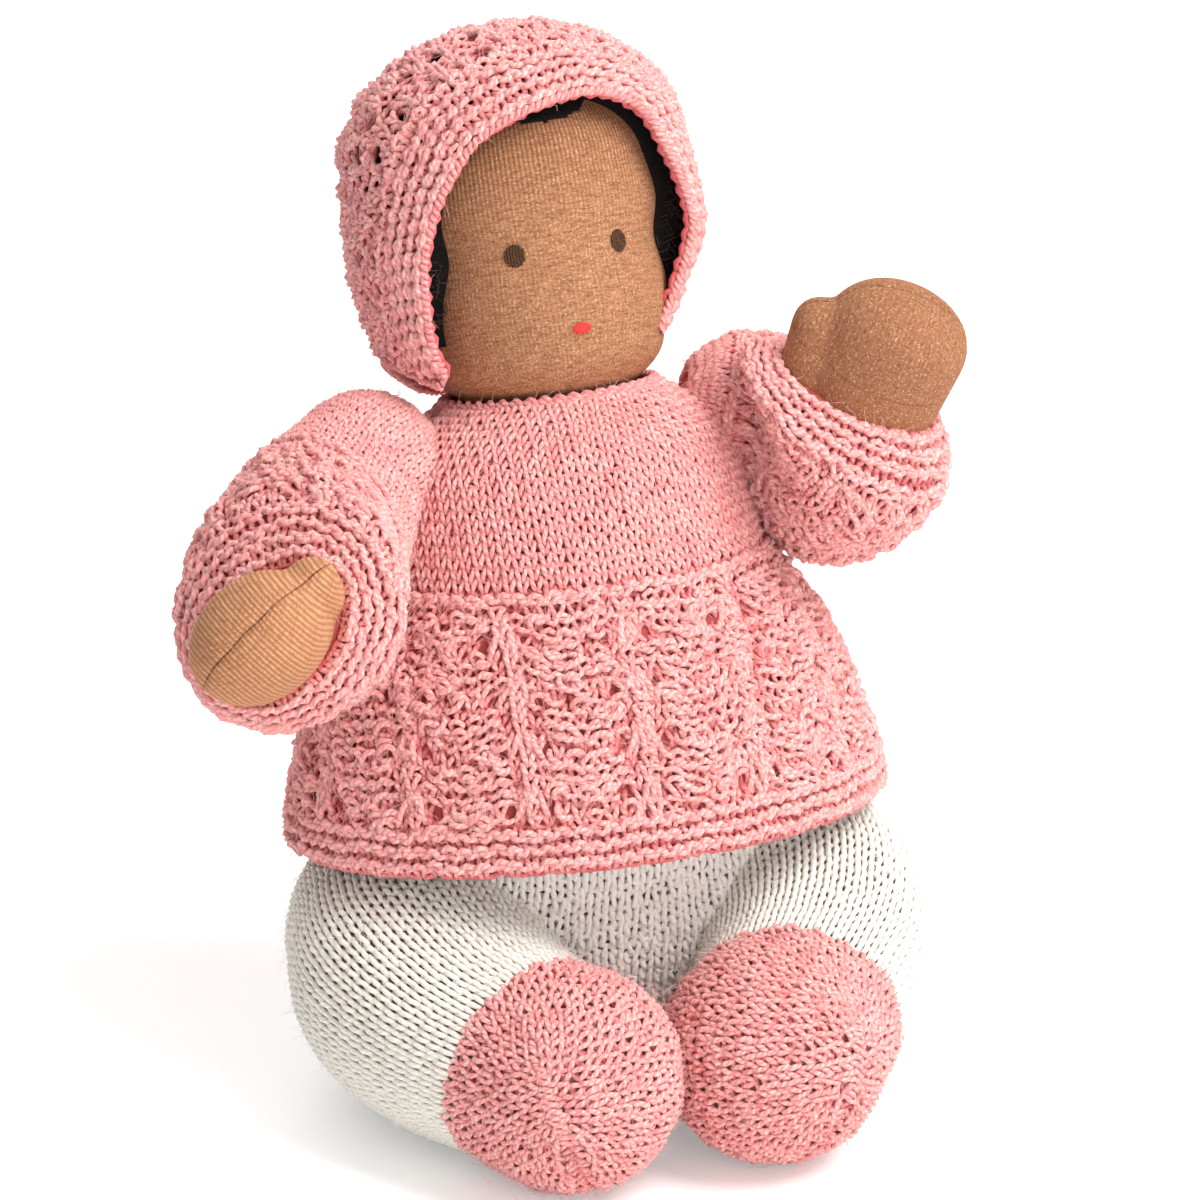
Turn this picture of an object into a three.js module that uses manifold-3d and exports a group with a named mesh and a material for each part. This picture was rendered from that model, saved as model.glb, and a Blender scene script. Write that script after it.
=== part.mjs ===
// A seated cloth doll in knitted clothes. Lengths in millimetres, +Z up, face towards -Y.
// The origin is the middle of the flat on which the doll sits.
import * as THREE from "three";
import { mergeVertices } from "three/addons/utils/BufferGeometryUtils.js";
import Module from "manifold-3d";

const wasm = await Module();
wasm.setup();

// Cloth and clearances
const knitWall = 2.5;
const jerseyWall = 1.0;
const clothGap = 0.3;
const jointGap = 0.4;
const sitFlatDepth = 0.5;
const cutterReach = 260;

// Sweater, measured along its own leaning axis from the hem up
const hemCentreBack = -1;
const hemCentreHeight = 73;
const sweaterLength = 116;
const sweaterHalfWidth = 83;
const sweaterHalfDepth = 68;
const hemBandHeight = 13;
const ridgeHeight = 71;
const yokeBendHeight = 84;
const necklineBack = 4;
const neckbandHeight = 3.4;
const neckbandWall = 3.6;
const torsoLeanAngle = 12.7;

// Body and the seat of the pants
const seatHalfWidth = 66;
const seatHalfDepth = 46;
const seatCentreBack = 8;
const seatWidestHeight = 26;
const waistHeight = 92;
const waistCentreBack = 4;
const waistbandHeight = 7;
const waistbandWall = 3.4;

// Neck: a ball of stuffing in the top of the body, with a post up into the head
const neckBack = 24;
const neckHeight = 187;
const neckBallRadius = 13;
const neckPostRadius = 9;
const neckPostHeight = 15;
const tieThread = 1.2;

// Head, measured along its own leaning axis from the neck pivot up
const headLeanAngle = 27;
const headCentreHeight = 52;
const headHalfWidth = 35.5;
const headHalfDepth = 36;
const jawDrop = 37;
const chinDomeDepth = 16;
const browRise = 12;
const crownDomeDepth = 28;
const headSkinWall = 1.2;
const eyeLineDrop = 11;
const eyeLineThread = 1.3;
const eyeSpacing = 30;
const eyeDrop = 11.6;
const eyeHalfWidth = 2.4;
const eyeHalfHeight = 2.9;
const mouthDrop = 33.5;
const mouthHalfWidth = 3;
const mouthHalfHeight = 1.5;
const stitchHalfDepth = 0.7;

// Hair and bonnet, round the middle of the head
const bonnetHalfWidth = 51;
const bonnetHalfDepth = 49;
const bonnetDrop = 41;
const bonnetDomeRise = 15;
const bonnetDomeDepth = 36;
const bonnetWall = 3;
const bonnetOpeningForward = 30;
const bonnetOpeningAngle = 15;
const brimWidth = 14;
const hairSetback = 12;
const hairDrop = 34;

// Arms: from the shoulder pivot, an upper part, a lower part and the hand
const shoulderReach = 51;
const shoulderBack = 14;
const shoulderHeight = 172.5;
const shoulderRadius = 25.5;
const sleeveRadius = 34.5;
const handLength = 18;
const fingertipDepth = 16;
const cuffLength = 13;
const cuffHalfWidth = 30.5;
const cuffHalfDepth = 22;
const armRadius = 22;
const handHalfWidth = 22.3;
const handHalfDepth = 15.3;
const thumbRadius = 8.5;
const thumbRootSink = 2;
const thumbLength = 14;
const thumbOffset = 14.5;
const thumbSplayAngle = 12;
const armHoleRadius = 8;
const rightArmPose = {
  upperLength: 35, forearmLength: 42, rootOutAngle: 68, rootLiftAngle: -18,
  upperOutAngle: 68, upperLiftAngle: -22, foreOutAngle: 28, foreLiftAngle: -2,
  handOutAngle: 33, handLiftAngle: 27, thumbTurnAngle: 225, raiseAngle: 45, lowerAngle: 8,
};
const leftArmPose = {
  upperLength: 31, forearmLength: 43, rootOutAngle: 72, rootLiftAngle: -15,
  upperOutAngle: 43, upperLiftAngle: -46, foreOutAngle: 45, foreLiftAngle: 68,
  handOutAngle: 60, handLiftAngle: 66, thumbTurnAngle: 280, raiseAngle: 30, lowerAngle: 8,
};

// Legs: from the hip pivot round the knee to the toe of the foot
const hipReach = 47;
const hipForward = 2;
const hipHeight = 44;
const hipRadius = 37.5;
const thighRadius = 36;
const ankleRadius = 30;
const footHalfWidth = 29.4;
const footHalfHeight = 31;
const toeDepth = 30;
const thighReach = 53.5;
const thighForward = 24;
const thighHeight = 41.5;
const shinReach = 48;
const shinForward = 46;
const shinHeight = 36;
const footHeight = 31.3;
const rightFoot = { reach: 31, forward: 74 };
const leftFoot = { reach: 29, forward: 75.5 };
const legRaiseAngle = 8;
const legLowerAngle = 18;

// Outlines as shares: [along, half-width, half-depth]
const sweaterShares = [
  [0, 1, 1], [0.06, 0.99, 0.99], [0.13, 0.972, 0.962], [0.28, 0.912, 0.902], [0.43, 0.825, 0.82],
  [0.61, 0.675, 0.691], [0.74, 0.632, 0.618], [0.862, 0.595, 0.56], [0.94, 0.49, 0.5], [1, 0.373, 0.44],
];
const torsoShares = [
  [0, 0.96, 0.96], [0.1, 1, 1], [0.26, 0.95, 0.98], [0.45, 0.85, 0.92], [0.6, 0.775, 0.9],
  [0.73, 0.74, 0.86], [0.9, 0.69, 0.73], [0.96, 0.59, 0.66], [1, 0.46, 0.56],
];
const headShares = [
  [0, 0.87, 0.87], [0.12, 0.965, 0.965], [0.3, 1, 0.99], [0.53, 0.955, 0.96], [0.75, 1, 1], [1, 0.985, 0.985],
];
const bonnetShares = [[0, 0.72, 0.75], [0.12, 0.87, 0.88], [0.32, 0.965, 0.97], [0.6, 1, 1], [1, 0.97, 0.97]];
const torsoTopShare = 0.96;
const sleeveFullShare = 0.74;
const wristTaperShare = 0.93;
const armFullShare = 0.4;
const thighStationShare = 0.35;
const bendShare = 0.7;
const hipHoleShare = 0.45;
const shoulderHoleShare = 0.45;
const seatBluntShare = 0.5;
const seatFlatShare = 0.2;
const chinBluntShare = 1.5;
const crownBluntShare = 0.95;
const handBluntShare = 0.85;
const toeBluntShare = 0.9;

// Mesh counts
const bodySides = 16;
const limbSides = 12;
const innerBodySides = 8;
const innerLimbSides = 6;
const lensSides = 8;
const lensRings = 4;
const threadSides = 4;
const thumbSides = 6;
const domeRings = 3;
const socketSides = 16;
const socketRings = 8;
const torsoRings = 5;
const pantsRings = 2;
const headRings = 4;
const bonnetRings = 4;
const sleeveRings = 4;
const armRings = 5;
const legRings = 10;
const pantLegRings = 8;
const roomRings = 3;
const spineSteps = 100;
const roomSpare = 0.8;

// Colours of the cloths
const pinkWool = new THREE.MeshStandardMaterial({ color: 0xd98a8c, roughness: 0.95, metalness: 0 });
const creamWool = new THREE.MeshStandardMaterial({ color: 0xe9e5dc, roughness: 0.95, metalness: 0 });
const brownJersey = new THREE.MeshStandardMaterial({ color: 0xb08150, roughness: 0.9, metalness: 0 });
const blackMohair = new THREE.MeshStandardMaterial({ color: 0x17130f, roughness: 0.9, metalness: 0 });
const fleece = new THREE.MeshStandardMaterial({ color: 0xe8e0cc, roughness: 1, metalness: 0 });
const brownFloss = new THREE.MeshStandardMaterial({ color: 0x4a2a1c, roughness: 0.7, metalness: 0 });
const redFloss = new THREE.MeshStandardMaterial({ color: 0xd8392f, roughness: 0.7, metalness: 0 });
const linenThread = new THREE.MeshStandardMaterial({ color: 0xd8d0bd, roughness: 0.8, metalness: 0 });

const radians = THREE.MathUtils.degToRad;

// Smooth value of a table of outline sizes at one place along it
function sizeAt(table, along, column) {
  let last = 1;
  while (last < table.length - 1 && table[last][0] < along) {
    last += 1;
  }
  const before = table[last - 1];
  const after = table[last];
  const slopeAt = (index) => {
    const low = table[Math.max(index - 1, 0)];
    const high = table[Math.min(index + 1, table.length - 1)];
    return (high[column] - low[column]) / (high[0] - low[0]);
  };
  const span = after[0] - before[0];
  const t = (along - before[0]) / span;
  const rise = after[column] - before[column];
  const startSlope = slopeAt(last - 1) * span;
  const endSlope = slopeAt(last) * span;
  const cubic = startSlope + endSlope - rise - rise;
  const square = rise - startSlope - cubic;
  return before[column] + t * (startSlope + t * (square + t * cubic));
}

// A table of shares given real half-widths and half-depths
function sized(shares, width, depth) {
  return shares.map(([along, wide, deep]) => [along, wide * width, deep * depth]);
}

// A soft outline: a spine, its half-sizes along it, and the depth, bluntness and flatness of its round ends
// Its rings stand square to the spine, or turn from one direction to another where a turn is given
function softOutline(spine, side, sizes, options = {}) {
  const plain = { startDome: 0, endDome: 0, startBlunt: 1, endBlunt: 1, startFlat: 1, turn: null };
  return { spine, side, sizes, ...plain, ...options };
}

function ringAxis({ spine, turn }, along) {
  return turn ? turn.start.clone().lerp(turn.end, Math.min(along / turn.until, 1)).normalize() : spine.getTangentAt(along);
}

// The cross-section of an outline at one share of its spine, moved inwards by an inset
function section(outline, along, inset) {
  const centre = outline.spine.getPointAt(along);
  const axis = ringAxis(outline, along);
  const side = outline.side.clone().addScaledVector(axis, -outline.side.dot(axis)).normalize();
  const front = new THREE.Vector3().crossVectors(axis, side);
  const wide = sizeAt(outline.sizes, along, 1) - inset;
  const deep = sizeAt(outline.sizes, along, 2) - inset;
  return { centre, axis, side, front, wide, deep, pole: false };
}

// Rings of a round end, from its pole (or from the edge of a hole) to the last full ring
function domeRows(ring, depth, blunt, flat, direction, holeShare) {
  const rows = [];
  const first = Math.asin(holeShare);
  for (let k = 0; k < domeRings; k += 1) {
    const angle = THREE.MathUtils.lerp(first, Math.PI / 2, k / domeRings);
    const spread = Math.pow(Math.sin(angle), blunt);
    rows.push({
      ...ring,
      centre: ring.centre.clone().addScaledVector(ring.axis, direction * depth * Math.pow(Math.cos(angle), flat)),
      wide: ring.wide * spread,
      deep: ring.deep * spread,
      pole: k === 0 && holeShare === 0,
    });
  }
  return rows;
}

// Rings of one surface of an outline between two shares of its spine
function surfaceRows(outline, { inset, from = 0, to = 1, rings, startHole = null, endHole = null }) {
  const rows = [];
  for (let k = 0; k <= rings; k += 1) {
    rows.push(section(outline, THREE.MathUtils.lerp(from, to, k / rings), inset));
  }
  const start = rows[0];
  const end = rows[rows.length - 1];
  if (startHole !== null) {
    rows.unshift(...domeRows(start, outline.startDome - inset, outline.startBlunt, outline.startFlat, -1, startHole));
  }
  if (endHole !== null) {
    rows.push(...domeRows(end, outline.endDome - inset, outline.endBlunt, 1, 1, endHole).reverse());
  }
  return rows;
}

// A lathe of unit radius whose rings are moved onto the given rows
function latheOnRows(rows, sides) {
  const profile = rows.map((row, index) => new THREE.Vector2(row.pole ? 0 : 1, index));
  const geometry = new THREE.LatheGeometry(profile, sides);
  const position = geometry.attributes.position;
  for (let v = 0; v < position.count; v += 1) {
    const row = rows[Math.round(position.getY(v))];
    const place = row.centre.clone();
    place.addScaledVector(row.side, position.getX(v) * row.wide);
    place.addScaledVector(row.front, position.getZ(v) * row.deep);
    position.setXYZ(v, place.x, place.y, place.z);
  }
  return geometry;
}

// A closed geometry as a solid that can be joined and cut, with its faces out
function solid(geometry, matrix = new THREE.Matrix4()) {
  const bare = geometry.clone().applyMatrix4(matrix);
  bare.deleteAttribute("normal");
  bare.deleteAttribute("uv");
  const merged = mergeVertices(bare);
  const place = merged.attributes.position;
  const corners = merged.index.array;
  const kept = [];
  let volume = 0;
  const at = (index) => new THREE.Vector3().fromBufferAttribute(place, index);
  for (let t = 0; t < corners.length; t += 3) {
    const [a, b, c] = corners.slice(t, t + 3);
    if (a !== b && b !== c && c !== a) {
      kept.push(a, b, c);
      volume += at(a).dot(at(b).cross(at(c)));
    }
  }
  if (volume < 0) {
    kept.reverse();
  }
  return new wasm.Manifold(new wasm.Mesh({
    numProp: 3,
    vertProperties: new Float32Array(place.array),
    triVerts: new Uint32Array(kept),
  }));
}

// A filled body of an outline: an end is flat (null), round (0), or round and cut flat at a share
function filled(outline, { inset, sides, rings, from, to, startHole = 0, endHole = 0 }) {
  const rows = surfaceRows(outline, { inset, rings, from, to, startHole, endHole });
  if (startHole !== 0) {
    rows.unshift({ ...rows[0], pole: true });
  }
  if (endHole !== 0) {
    rows.push({ ...rows[rows.length - 1], pole: true });
  }
  return solid(latheOnRows(rows, sides));
}

// The four-sided facets between two rows of a lathe split along their other diagonal
function splitOtherWay(geometry, rowCount, first, last) {
  const corners = geometry.index.array;
  for (let t = 0; t < corners.length; t += 6) {
    const row = (t / 6) % (rowCount - 1);
    if (row >= first && row < last) {
      const [a, b, d, c] = corners.slice(t, t + 4);
      corners.set([a, b, c, a, c, d], t);
    }
  }
  return geometry;
}

// A cloth shell of an outline: an end is open, round with a hole, or round and closed (hole 0)
// The facets of its two surfaces are split alike, so that nested shells keep their clearance
function shell(outline, { inset, wall, sides, rings, from, to, startHole = null, endHole = null }) {
  const outer = surfaceRows(outline, { inset, rings, from, to, startHole, endHole });
  const inner = surfaceRows(outline, { inset: inset + wall, rings, from, to, startHole, endHole });
  const closedEnd = endHole === 0;
  const loop = closedEnd ? [...outer.reverse(), ...inner] : [...outer, ...inner.reverse()];
  if (!closedEnd && startHole !== 0) {
    loop.push(loop[0]);
  }
  const turned = closedEnd ? [0, outer.length] : [outer.length, loop.length];
  return solid(splitOtherWay(latheOnRows(loop, sides), loop.length, ...turned));
}

// A round thread laid round one cross-section
function threadRing(ring, thread) {
  const rows = [];
  for (let k = 0; k <= threadSides; k += 1) {
    const angle = (k % threadSides) / threadSides * Math.PI * 2;
    rows.push({
      ...ring,
      centre: ring.centre.clone().addScaledVector(ring.axis, thread / 2 * Math.sin(angle)),
      wide: ring.wide + thread / 2 * Math.cos(angle),
      deep: ring.deep + thread / 2 * Math.cos(angle),
    });
  }
  return solid(latheOnRows(rows, innerBodySides));
}

// A faceted ball inside its radius, and a socket whose facets all lie outside its radius
function ball(centre, radius) {
  const sphere = new THREE.SphereGeometry(radius, socketSides, socketRings);
  return solid(sphere.translate(centre.x, centre.y, centre.z));
}

function socket(centre, radius) {
  return ball(centre, radius / Math.cos(Math.PI / socketSides) / Math.cos(Math.PI / socketRings / 2));
}

// A block that fills everything beyond a plane
function blockBeyond(point, normal) {
  const block = new THREE.BoxGeometry(cutterReach, cutterReach, cutterReach);
  const turn = new THREE.Quaternion().setFromUnitVectors(upward, normal);
  const centre = point.clone().addScaledVector(normal, cutterReach / 2);
  return solid(block, new THREE.Matrix4().compose(centre, turn, new THREE.Vector3(1, 1, 1)));
}

const sideways = new THREE.Vector3(1, 0, 0);
const upward = new THREE.Vector3(0, 0, 1);
const atPivot = new THREE.Vector3(0, 0, 0);
const stuffingInset = jerseyWall + clothGap;
const doll = new THREE.Group();

function place(name, body, material, parent = doll) {
  const made = body.getMesh();
  const geometry = new THREE.BufferGeometry();
  geometry.setAttribute("position", new THREE.BufferAttribute(made.vertProperties, 3));
  geometry.setIndex(new THREE.BufferAttribute(made.triVerts, 1));
  geometry.computeVertexNormals();
  const mesh = new THREE.Mesh(geometry, material);
  mesh.name = name;
  parent.add(mesh);
}

function leaningGroup(back, height, angle) {
  const group = new THREE.Group();
  group.position.set(0, back, height);
  group.rotation.x = -radians(angle);
  group.updateMatrixWorld(true);
  doll.add(group);
  return group;
}

const sweaterGroup = leaningGroup(hemCentreBack, hemCentreHeight, torsoLeanAngle);
const headGroup = leaningGroup(neckBack, neckHeight, headLeanAngle);
const neckPivot = new THREE.Vector3(0, neckBack, neckHeight);
const limbs = [
  { word: "right", sign: -1, armPose: rightArmPose, foot: rightFoot },
  { word: "left", sign: 1, armPose: leftArmPose, foot: leftFoot },
];
const shoulderOf = (sign) => new THREE.Vector3(sign * shoulderReach, shoulderBack, shoulderHeight);
const hipOf = (sign) => new THREE.Vector3(sign * hipReach, -hipForward, hipHeight);

// Arms. Each leaves free room in the sweater and body for its sleeve as it swings up and down
const armRooms = [];

function aim(sign, outAngle, liftAngle) {
  const level = Math.cos(radians(liftAngle));
  const out = radians(outAngle);
  return new THREE.Vector3(sign * Math.sin(out) * level, -Math.cos(out) * level, Math.sin(radians(liftAngle)));
}

function makeArm({ word, sign, armPose }) {
  const group = new THREE.Group();
  group.position.copy(shoulderOf(sign));
  doll.add(group);
  const root = aim(sign, armPose.rootOutAngle, armPose.rootLiftAngle);
  const upper = aim(sign, armPose.upperOutAngle, armPose.upperLiftAngle);
  const fore = aim(sign, armPose.foreOutAngle, armPose.foreLiftAngle);
  const hand = aim(sign, armPose.handOutAngle, armPose.handLiftAngle);
  const wrist = upper.clone().multiplyScalar(armPose.upperLength).addScaledVector(fore, armPose.forearmLength);
  const bend = new THREE.CubicBezierCurve3(
    atPivot,
    upper.clone().multiplyScalar(armPose.upperLength * bendShare),
    wrist.clone().addScaledVector(fore, -armPose.forearmLength * bendShare),
    wrist,
  );
  const points = [...[0, 1, 2].map((k) => bend.getPoint(k / 3)), wrist, wrist.clone().addScaledVector(hand, handLength)];
  const spine = new THREE.CatmullRomCurve3(points);
  const lengths = spine.getLengths(spineSteps);
  const spineLength = lengths[spineSteps];
  const wristShare = lengths[spineSteps * 3 / 4] / spineLength;
  const across = new THREE.Vector3().crossVectors(hand, upward).normalize();
  const thumbWay = across.applyAxisAngle(hand, radians(armPose.thumbTurnAngle));
  const turn = { start: root, end: hand, until: wristShare };

  const sleeveOutline = softOutline(spine, thumbWay, [
    [0, shoulderRadius, shoulderRadius],
    [sleeveFullShare * wristShare, sleeveRadius, sleeveRadius],
    [wristTaperShare * wristShare, cuffHalfWidth, cuffHalfDepth + (sleeveRadius - cuffHalfDepth) / 3],
    [wristShare, cuffHalfWidth, cuffHalfDepth],
  ], { startDome: shoulderRadius, turn });
  const cuffFrom = wristShare - cuffLength / spineLength;
  const sleeveBulk = filled(sleeveOutline, {
    inset: -jointGap - roomSpare, sides: limbSides, rings: sleeveRings, from: 0, to: cuffFrom, startHole: null, endHole: null,
  });
  for (const swing of [-armPose.lowerAngle, 0, armPose.raiseAngle / 2, armPose.raiseAngle]) {
    const swung = new THREE.Matrix4().makeRotationX(-radians(swing)).setPosition(group.position);
    armRooms.push(sleeveBulk.transform(swung.elements));
  }
  place(`${word}_sleeve`, shell(sleeveOutline, {
    inset: 0, wall: knitWall, sides: limbSides, rings: sleeveRings, from: 0, to: cuffFrom, startHole: shoulderHoleShare,
  }), pinkWool, group);
  place(`${word}_cuff`, shell(sleeveOutline, {
    inset: 0, wall: knitWall, sides: limbSides, rings: 2, from: cuffFrom + clothGap / spineLength, to: wristShare,
  }), pinkWool, group);

  const armTop = shoulderRadius - knitWall - clothGap;
  const armOutline = softOutline(spine, thumbWay, [
    [0, armTop, armTop],
    [armFullShare * wristShare, armRadius, armRadius],
    [wristShare, handHalfWidth - clothGap, handHalfDepth],
    [1, handHalfWidth, handHalfDepth],
  ], { startDome: armTop, endDome: fingertipDepth, endBlunt: handBluntShare, turn });
  const thumbRoot = wrist.clone().addScaledVector(thumbWay, thumbOffset).addScaledVector(hand, -thumbRootSink);
  const turnAxis = new THREE.Vector3().crossVectors(hand, thumbWay).normalize();
  const thumbAim = hand.clone().applyAxisAngle(turnAxis, radians(thumbSplayAngle));
  const thumbOutline = softOutline(
    new THREE.LineCurve3(thumbRoot, thumbRoot.clone().addScaledVector(thumbAim, thumbLength)),
    thumbWay,
    [0, 1].map((along) => [along, thumbRadius, thumbRadius]),
    { startDome: thumbRadius, endDome: thumbRadius },
  );
  const handForm = (inset, sides) => filled(armOutline, { inset, sides, rings: armRings, startHole: shoulderHoleShare })
    .add(filled(thumbOutline, { inset, sides: thumbSides, rings: 1 }));
  const capDistance = armTop * Math.sqrt(1 - Math.pow(shoulderHoleShare, 2));
  const armHole = ball(root.clone().multiplyScalar(-capDistance), armHoleRadius);
  const armSkin = handForm(0, limbSides).subtract(handForm(jerseyWall, innerLimbSides)).subtract(armHole);
  place(`${word}_arm_skin`, armSkin, brownJersey, group);
  place(`${word}_arm_stuffing`, handForm(stuffingInset, innerLimbSides), fleece, group);
}

limbs.forEach(makeArm);

// Legs. Each leaves free room in the body for its thigh as it swings up and down
const legRooms = [];

function makeLeg({ word, sign, foot }) {
  const group = new THREE.Group();
  const hip = hipOf(sign);
  group.position.copy(hip);
  doll.add(group);
  const at = (reach, forward, height) => new THREE.Vector3(sign * reach, -forward, height).sub(hip);
  const spine = new THREE.CatmullRomCurve3([
    atPivot,
    at(thighReach, thighForward, thighHeight),
    at(shinReach, shinForward, shinHeight),
    at(foot.reach, foot.forward, footHeight),
  ]);
  const ankleShare = pantLegRings / legRings;
  const turn = { start: spine.getTangentAt(0), end: spine.getTangentAt(1), until: 1 };
  const legOutline = softOutline(spine, sideways, [
    [0, hipRadius, hipRadius],
    [thighStationShare, thighRadius, thighRadius],
    [ankleShare, ankleRadius, ankleRadius],
    [1, footHalfWidth, footHalfHeight],
  ], { startDome: hipRadius, endDome: toeDepth, endBlunt: toeBluntShare, turn });
  const thighBulk = filled(legOutline, {
    inset: -jointGap - roomSpare, sides: limbSides, rings: roomRings, from: 0, to: ankleShare, startHole: null, endHole: null,
  });
  for (const swing of [legRaiseAngle, 0, -legLowerAngle / 2, -legLowerAngle]) {
    const swung = new THREE.Matrix4().makeRotationX(-radians(swing)).setPosition(hip);
    legRooms.push(thighBulk.transform(swung.elements));
  }
  place(`${word}_pant_leg`, shell(legOutline, {
    inset: 0, wall: knitWall, sides: limbSides, rings: pantLegRings, from: 0, to: ankleShare, startHole: hipHoleShare,
  }), creamWool, group);
  const footFrom = ankleShare + clothGap / spine.getLength();
  place(`${word}_foot`, shell(legOutline, {
    inset: 0, wall: knitWall, sides: limbSides, rings: legRings - pantLegRings, from: footFrom, to: 1, endHole: 0,
  }), pinkWool, group);
  const skinInset = knitWall + clothGap;
  place(`${word}_leg_skin`, shell(legOutline, {
    inset: skinInset, wall: jerseyWall, sides: innerLimbSides, rings: legRings, startHole: hipHoleShare, endHole: 0,
  }), brownJersey, group);
  place(`${word}_leg_stuffing`, filled(legOutline, {
    inset: skinInset + stuffingInset, sides: innerLimbSides, rings: legRings, startHole: hipHoleShare,
  }), fleece, group);
}

limbs.forEach(makeLeg);

// Sockets of the shoulders and the neck in whatever they reach
function cutUpperSockets(body, toBody = new THREE.Matrix4()) {
  let cut = body.subtract(socket(neckPivot.clone().applyMatrix4(toBody), neckBallRadius + jointGap));
  for (const { sign } of limbs) {
    cut = cut.subtract(socket(shoulderOf(sign).applyMatrix4(toBody), shoulderRadius + jointGap));
  }
  for (const room of armRooms) {
    cut = cut.subtract(room.transform(toBody.elements));
  }
  return cut;
}

function cutHips(body) {
  let cut = body;
  for (const { sign } of limbs) {
    cut = cut.subtract(socket(hipOf(sign), hipRadius + jointGap));
  }
  for (const room of legRooms) {
    cut = cut.subtract(room);
  }
  return cut;
}

// Sweater
const sweaterOutline = softOutline(
  new THREE.CatmullRomCurve3([
    new THREE.Vector3(0, 0, 0),
    new THREE.Vector3(0, 0, yokeBendHeight / 2),
    new THREE.Vector3(0, 0, yokeBendHeight),
    new THREE.Vector3(0, necklineBack, sweaterLength),
  ]),
  sideways,
  sized(sweaterShares, sweaterHalfWidth, sweaterHalfDepth),
);
const toSweater = sweaterGroup.matrixWorld.clone().invert();
const sweaterGapShare = clothGap / sweaterLength;
const hemShare = hemBandHeight / sweaterLength;
const ridgeShare = ridgeHeight / sweaterLength;
const sweaterSections = [
  { name: "sweater_hem", from: 0, to: hemShare, rings: 1 },
  { name: "sweater_skirt", from: hemShare + sweaterGapShare, to: ridgeShare, rings: 4 },
  { name: "sweater_yoke", from: ridgeShare + sweaterGapShare, to: 1, rings: 5 },
];
for (const { name, from, to, rings } of sweaterSections) {
  const cloth = shell(sweaterOutline, { inset: 0, wall: knitWall, sides: bodySides, rings, from, to });
  place(name, cutUpperSockets(cloth, toSweater), pinkWool, sweaterGroup);
}
const neckline = section(sweaterOutline, 1, knitWall / 2);
const neckbandStart = neckline.centre.clone().addScaledVector(neckline.axis, clothGap);
const neckbandOutline = softOutline(
  new THREE.LineCurve3(neckbandStart, neckbandStart.clone().addScaledVector(neckline.axis, neckbandHeight)),
  sideways,
  [0, 1].map((along) => [along, neckline.wide + neckbandWall / 2, neckline.deep + neckbandWall / 2]),
);
const neckband = shell(neckbandOutline, { inset: 0, wall: neckbandWall, sides: bodySides, rings: 1 });
place("sweater_neckband", cutUpperSockets(neckband, toSweater), pinkWool, sweaterGroup);

// Body and pants
const sweaterAxisPoint = (along) => sweaterOutline.spine.getPointAt(along).applyMatrix4(sweaterGroup.matrixWorld);
const torsoOutline = softOutline(
  new THREE.CatmullRomCurve3([
    new THREE.Vector3(0, seatCentreBack, seatWidestHeight),
    new THREE.Vector3(0, waistCentreBack, waistHeight),
    sweaterAxisPoint(ridgeShare),
    sweaterAxisPoint(torsoTopShare),
  ]),
  sideways,
  sized(torsoShares, seatHalfWidth, seatHalfDepth),
  {
    startDome: seatWidestHeight + sitFlatDepth - knitWall - clothGap,
    startBlunt: seatBluntShare,
    startFlat: seatFlatShare,
  },
);
const torsoSkin = shell(torsoOutline, {
  inset: 0, wall: jerseyWall, sides: innerBodySides, rings: torsoRings, startHole: 0,
});
place("torso_skin", cutUpperSockets(cutHips(torsoSkin)), brownJersey);
const torsoFill = filled(torsoOutline, {
  inset: stuffingInset, sides: innerBodySides, rings: torsoRings, endHole: null,
});
place("torso_stuffing", cutUpperSockets(cutHips(torsoFill)), fleece);

const floorBlock = blockBeyond(new THREE.Vector3(0, 0, 0), upward.clone().negate());
const waistShare = pantsRings / torsoRings;
const pantsSeat = shell(torsoOutline, {
  inset: -clothGap - knitWall, wall: knitWall, sides: bodySides, rings: pantsRings, from: 0, to: waistShare, startHole: 0,
});
place("pants_seat", cutHips(pantsSeat).subtract(floorBlock), creamWool);
const torsoSpineLength = torsoOutline.spine.getLength();
const waistbandFrom = waistShare + clothGap / torsoSpineLength;
place("pants_waistband", cutHips(shell(torsoOutline, {
  inset: -clothGap - roomSpare - waistbandWall, wall: waistbandWall, sides: bodySides, rings: 1,
  from: waistbandFrom, to: waistbandFrom + waistbandHeight / torsoSpineLength,
})), creamWool);

// Head
const headOutline = softOutline(
  new THREE.LineCurve3(
    new THREE.Vector3(0, 0, headCentreHeight - jawDrop), new THREE.Vector3(0, 0, headCentreHeight + browRise),
  ),
  sideways,
  sized(headShares, headHalfWidth, headHalfDepth),
  { startDome: chinDomeDepth, endDome: crownDomeDepth, startBlunt: chinBluntShare, endBlunt: crownBluntShare },
);
const headAlong = (drop) => (jawDrop - drop) / (jawDrop + browRise);

// The place and outward direction on the face at a distance across and a drop below its middle
function facePoint(across, drop) {
  const ring = section(headOutline, headAlong(drop), 0);
  const above = sizeAt(headOutline.sizes, headAlong(drop - eyeHalfHeight), 2);
  const slope = (above - ring.deep) / eyeHalfHeight;
  const forward = ring.deep * Math.sqrt(1 - Math.pow(across / ring.wide, 2));
  const normal = new THREE.Vector3(across / Math.pow(ring.wide, 2), -forward / Math.pow(ring.deep, 2), 0);
  normal.normalize().setZ(-slope).normalize();
  return { point: new THREE.Vector3(across, -forward, headCentreHeight - drop), normal };
}

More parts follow.
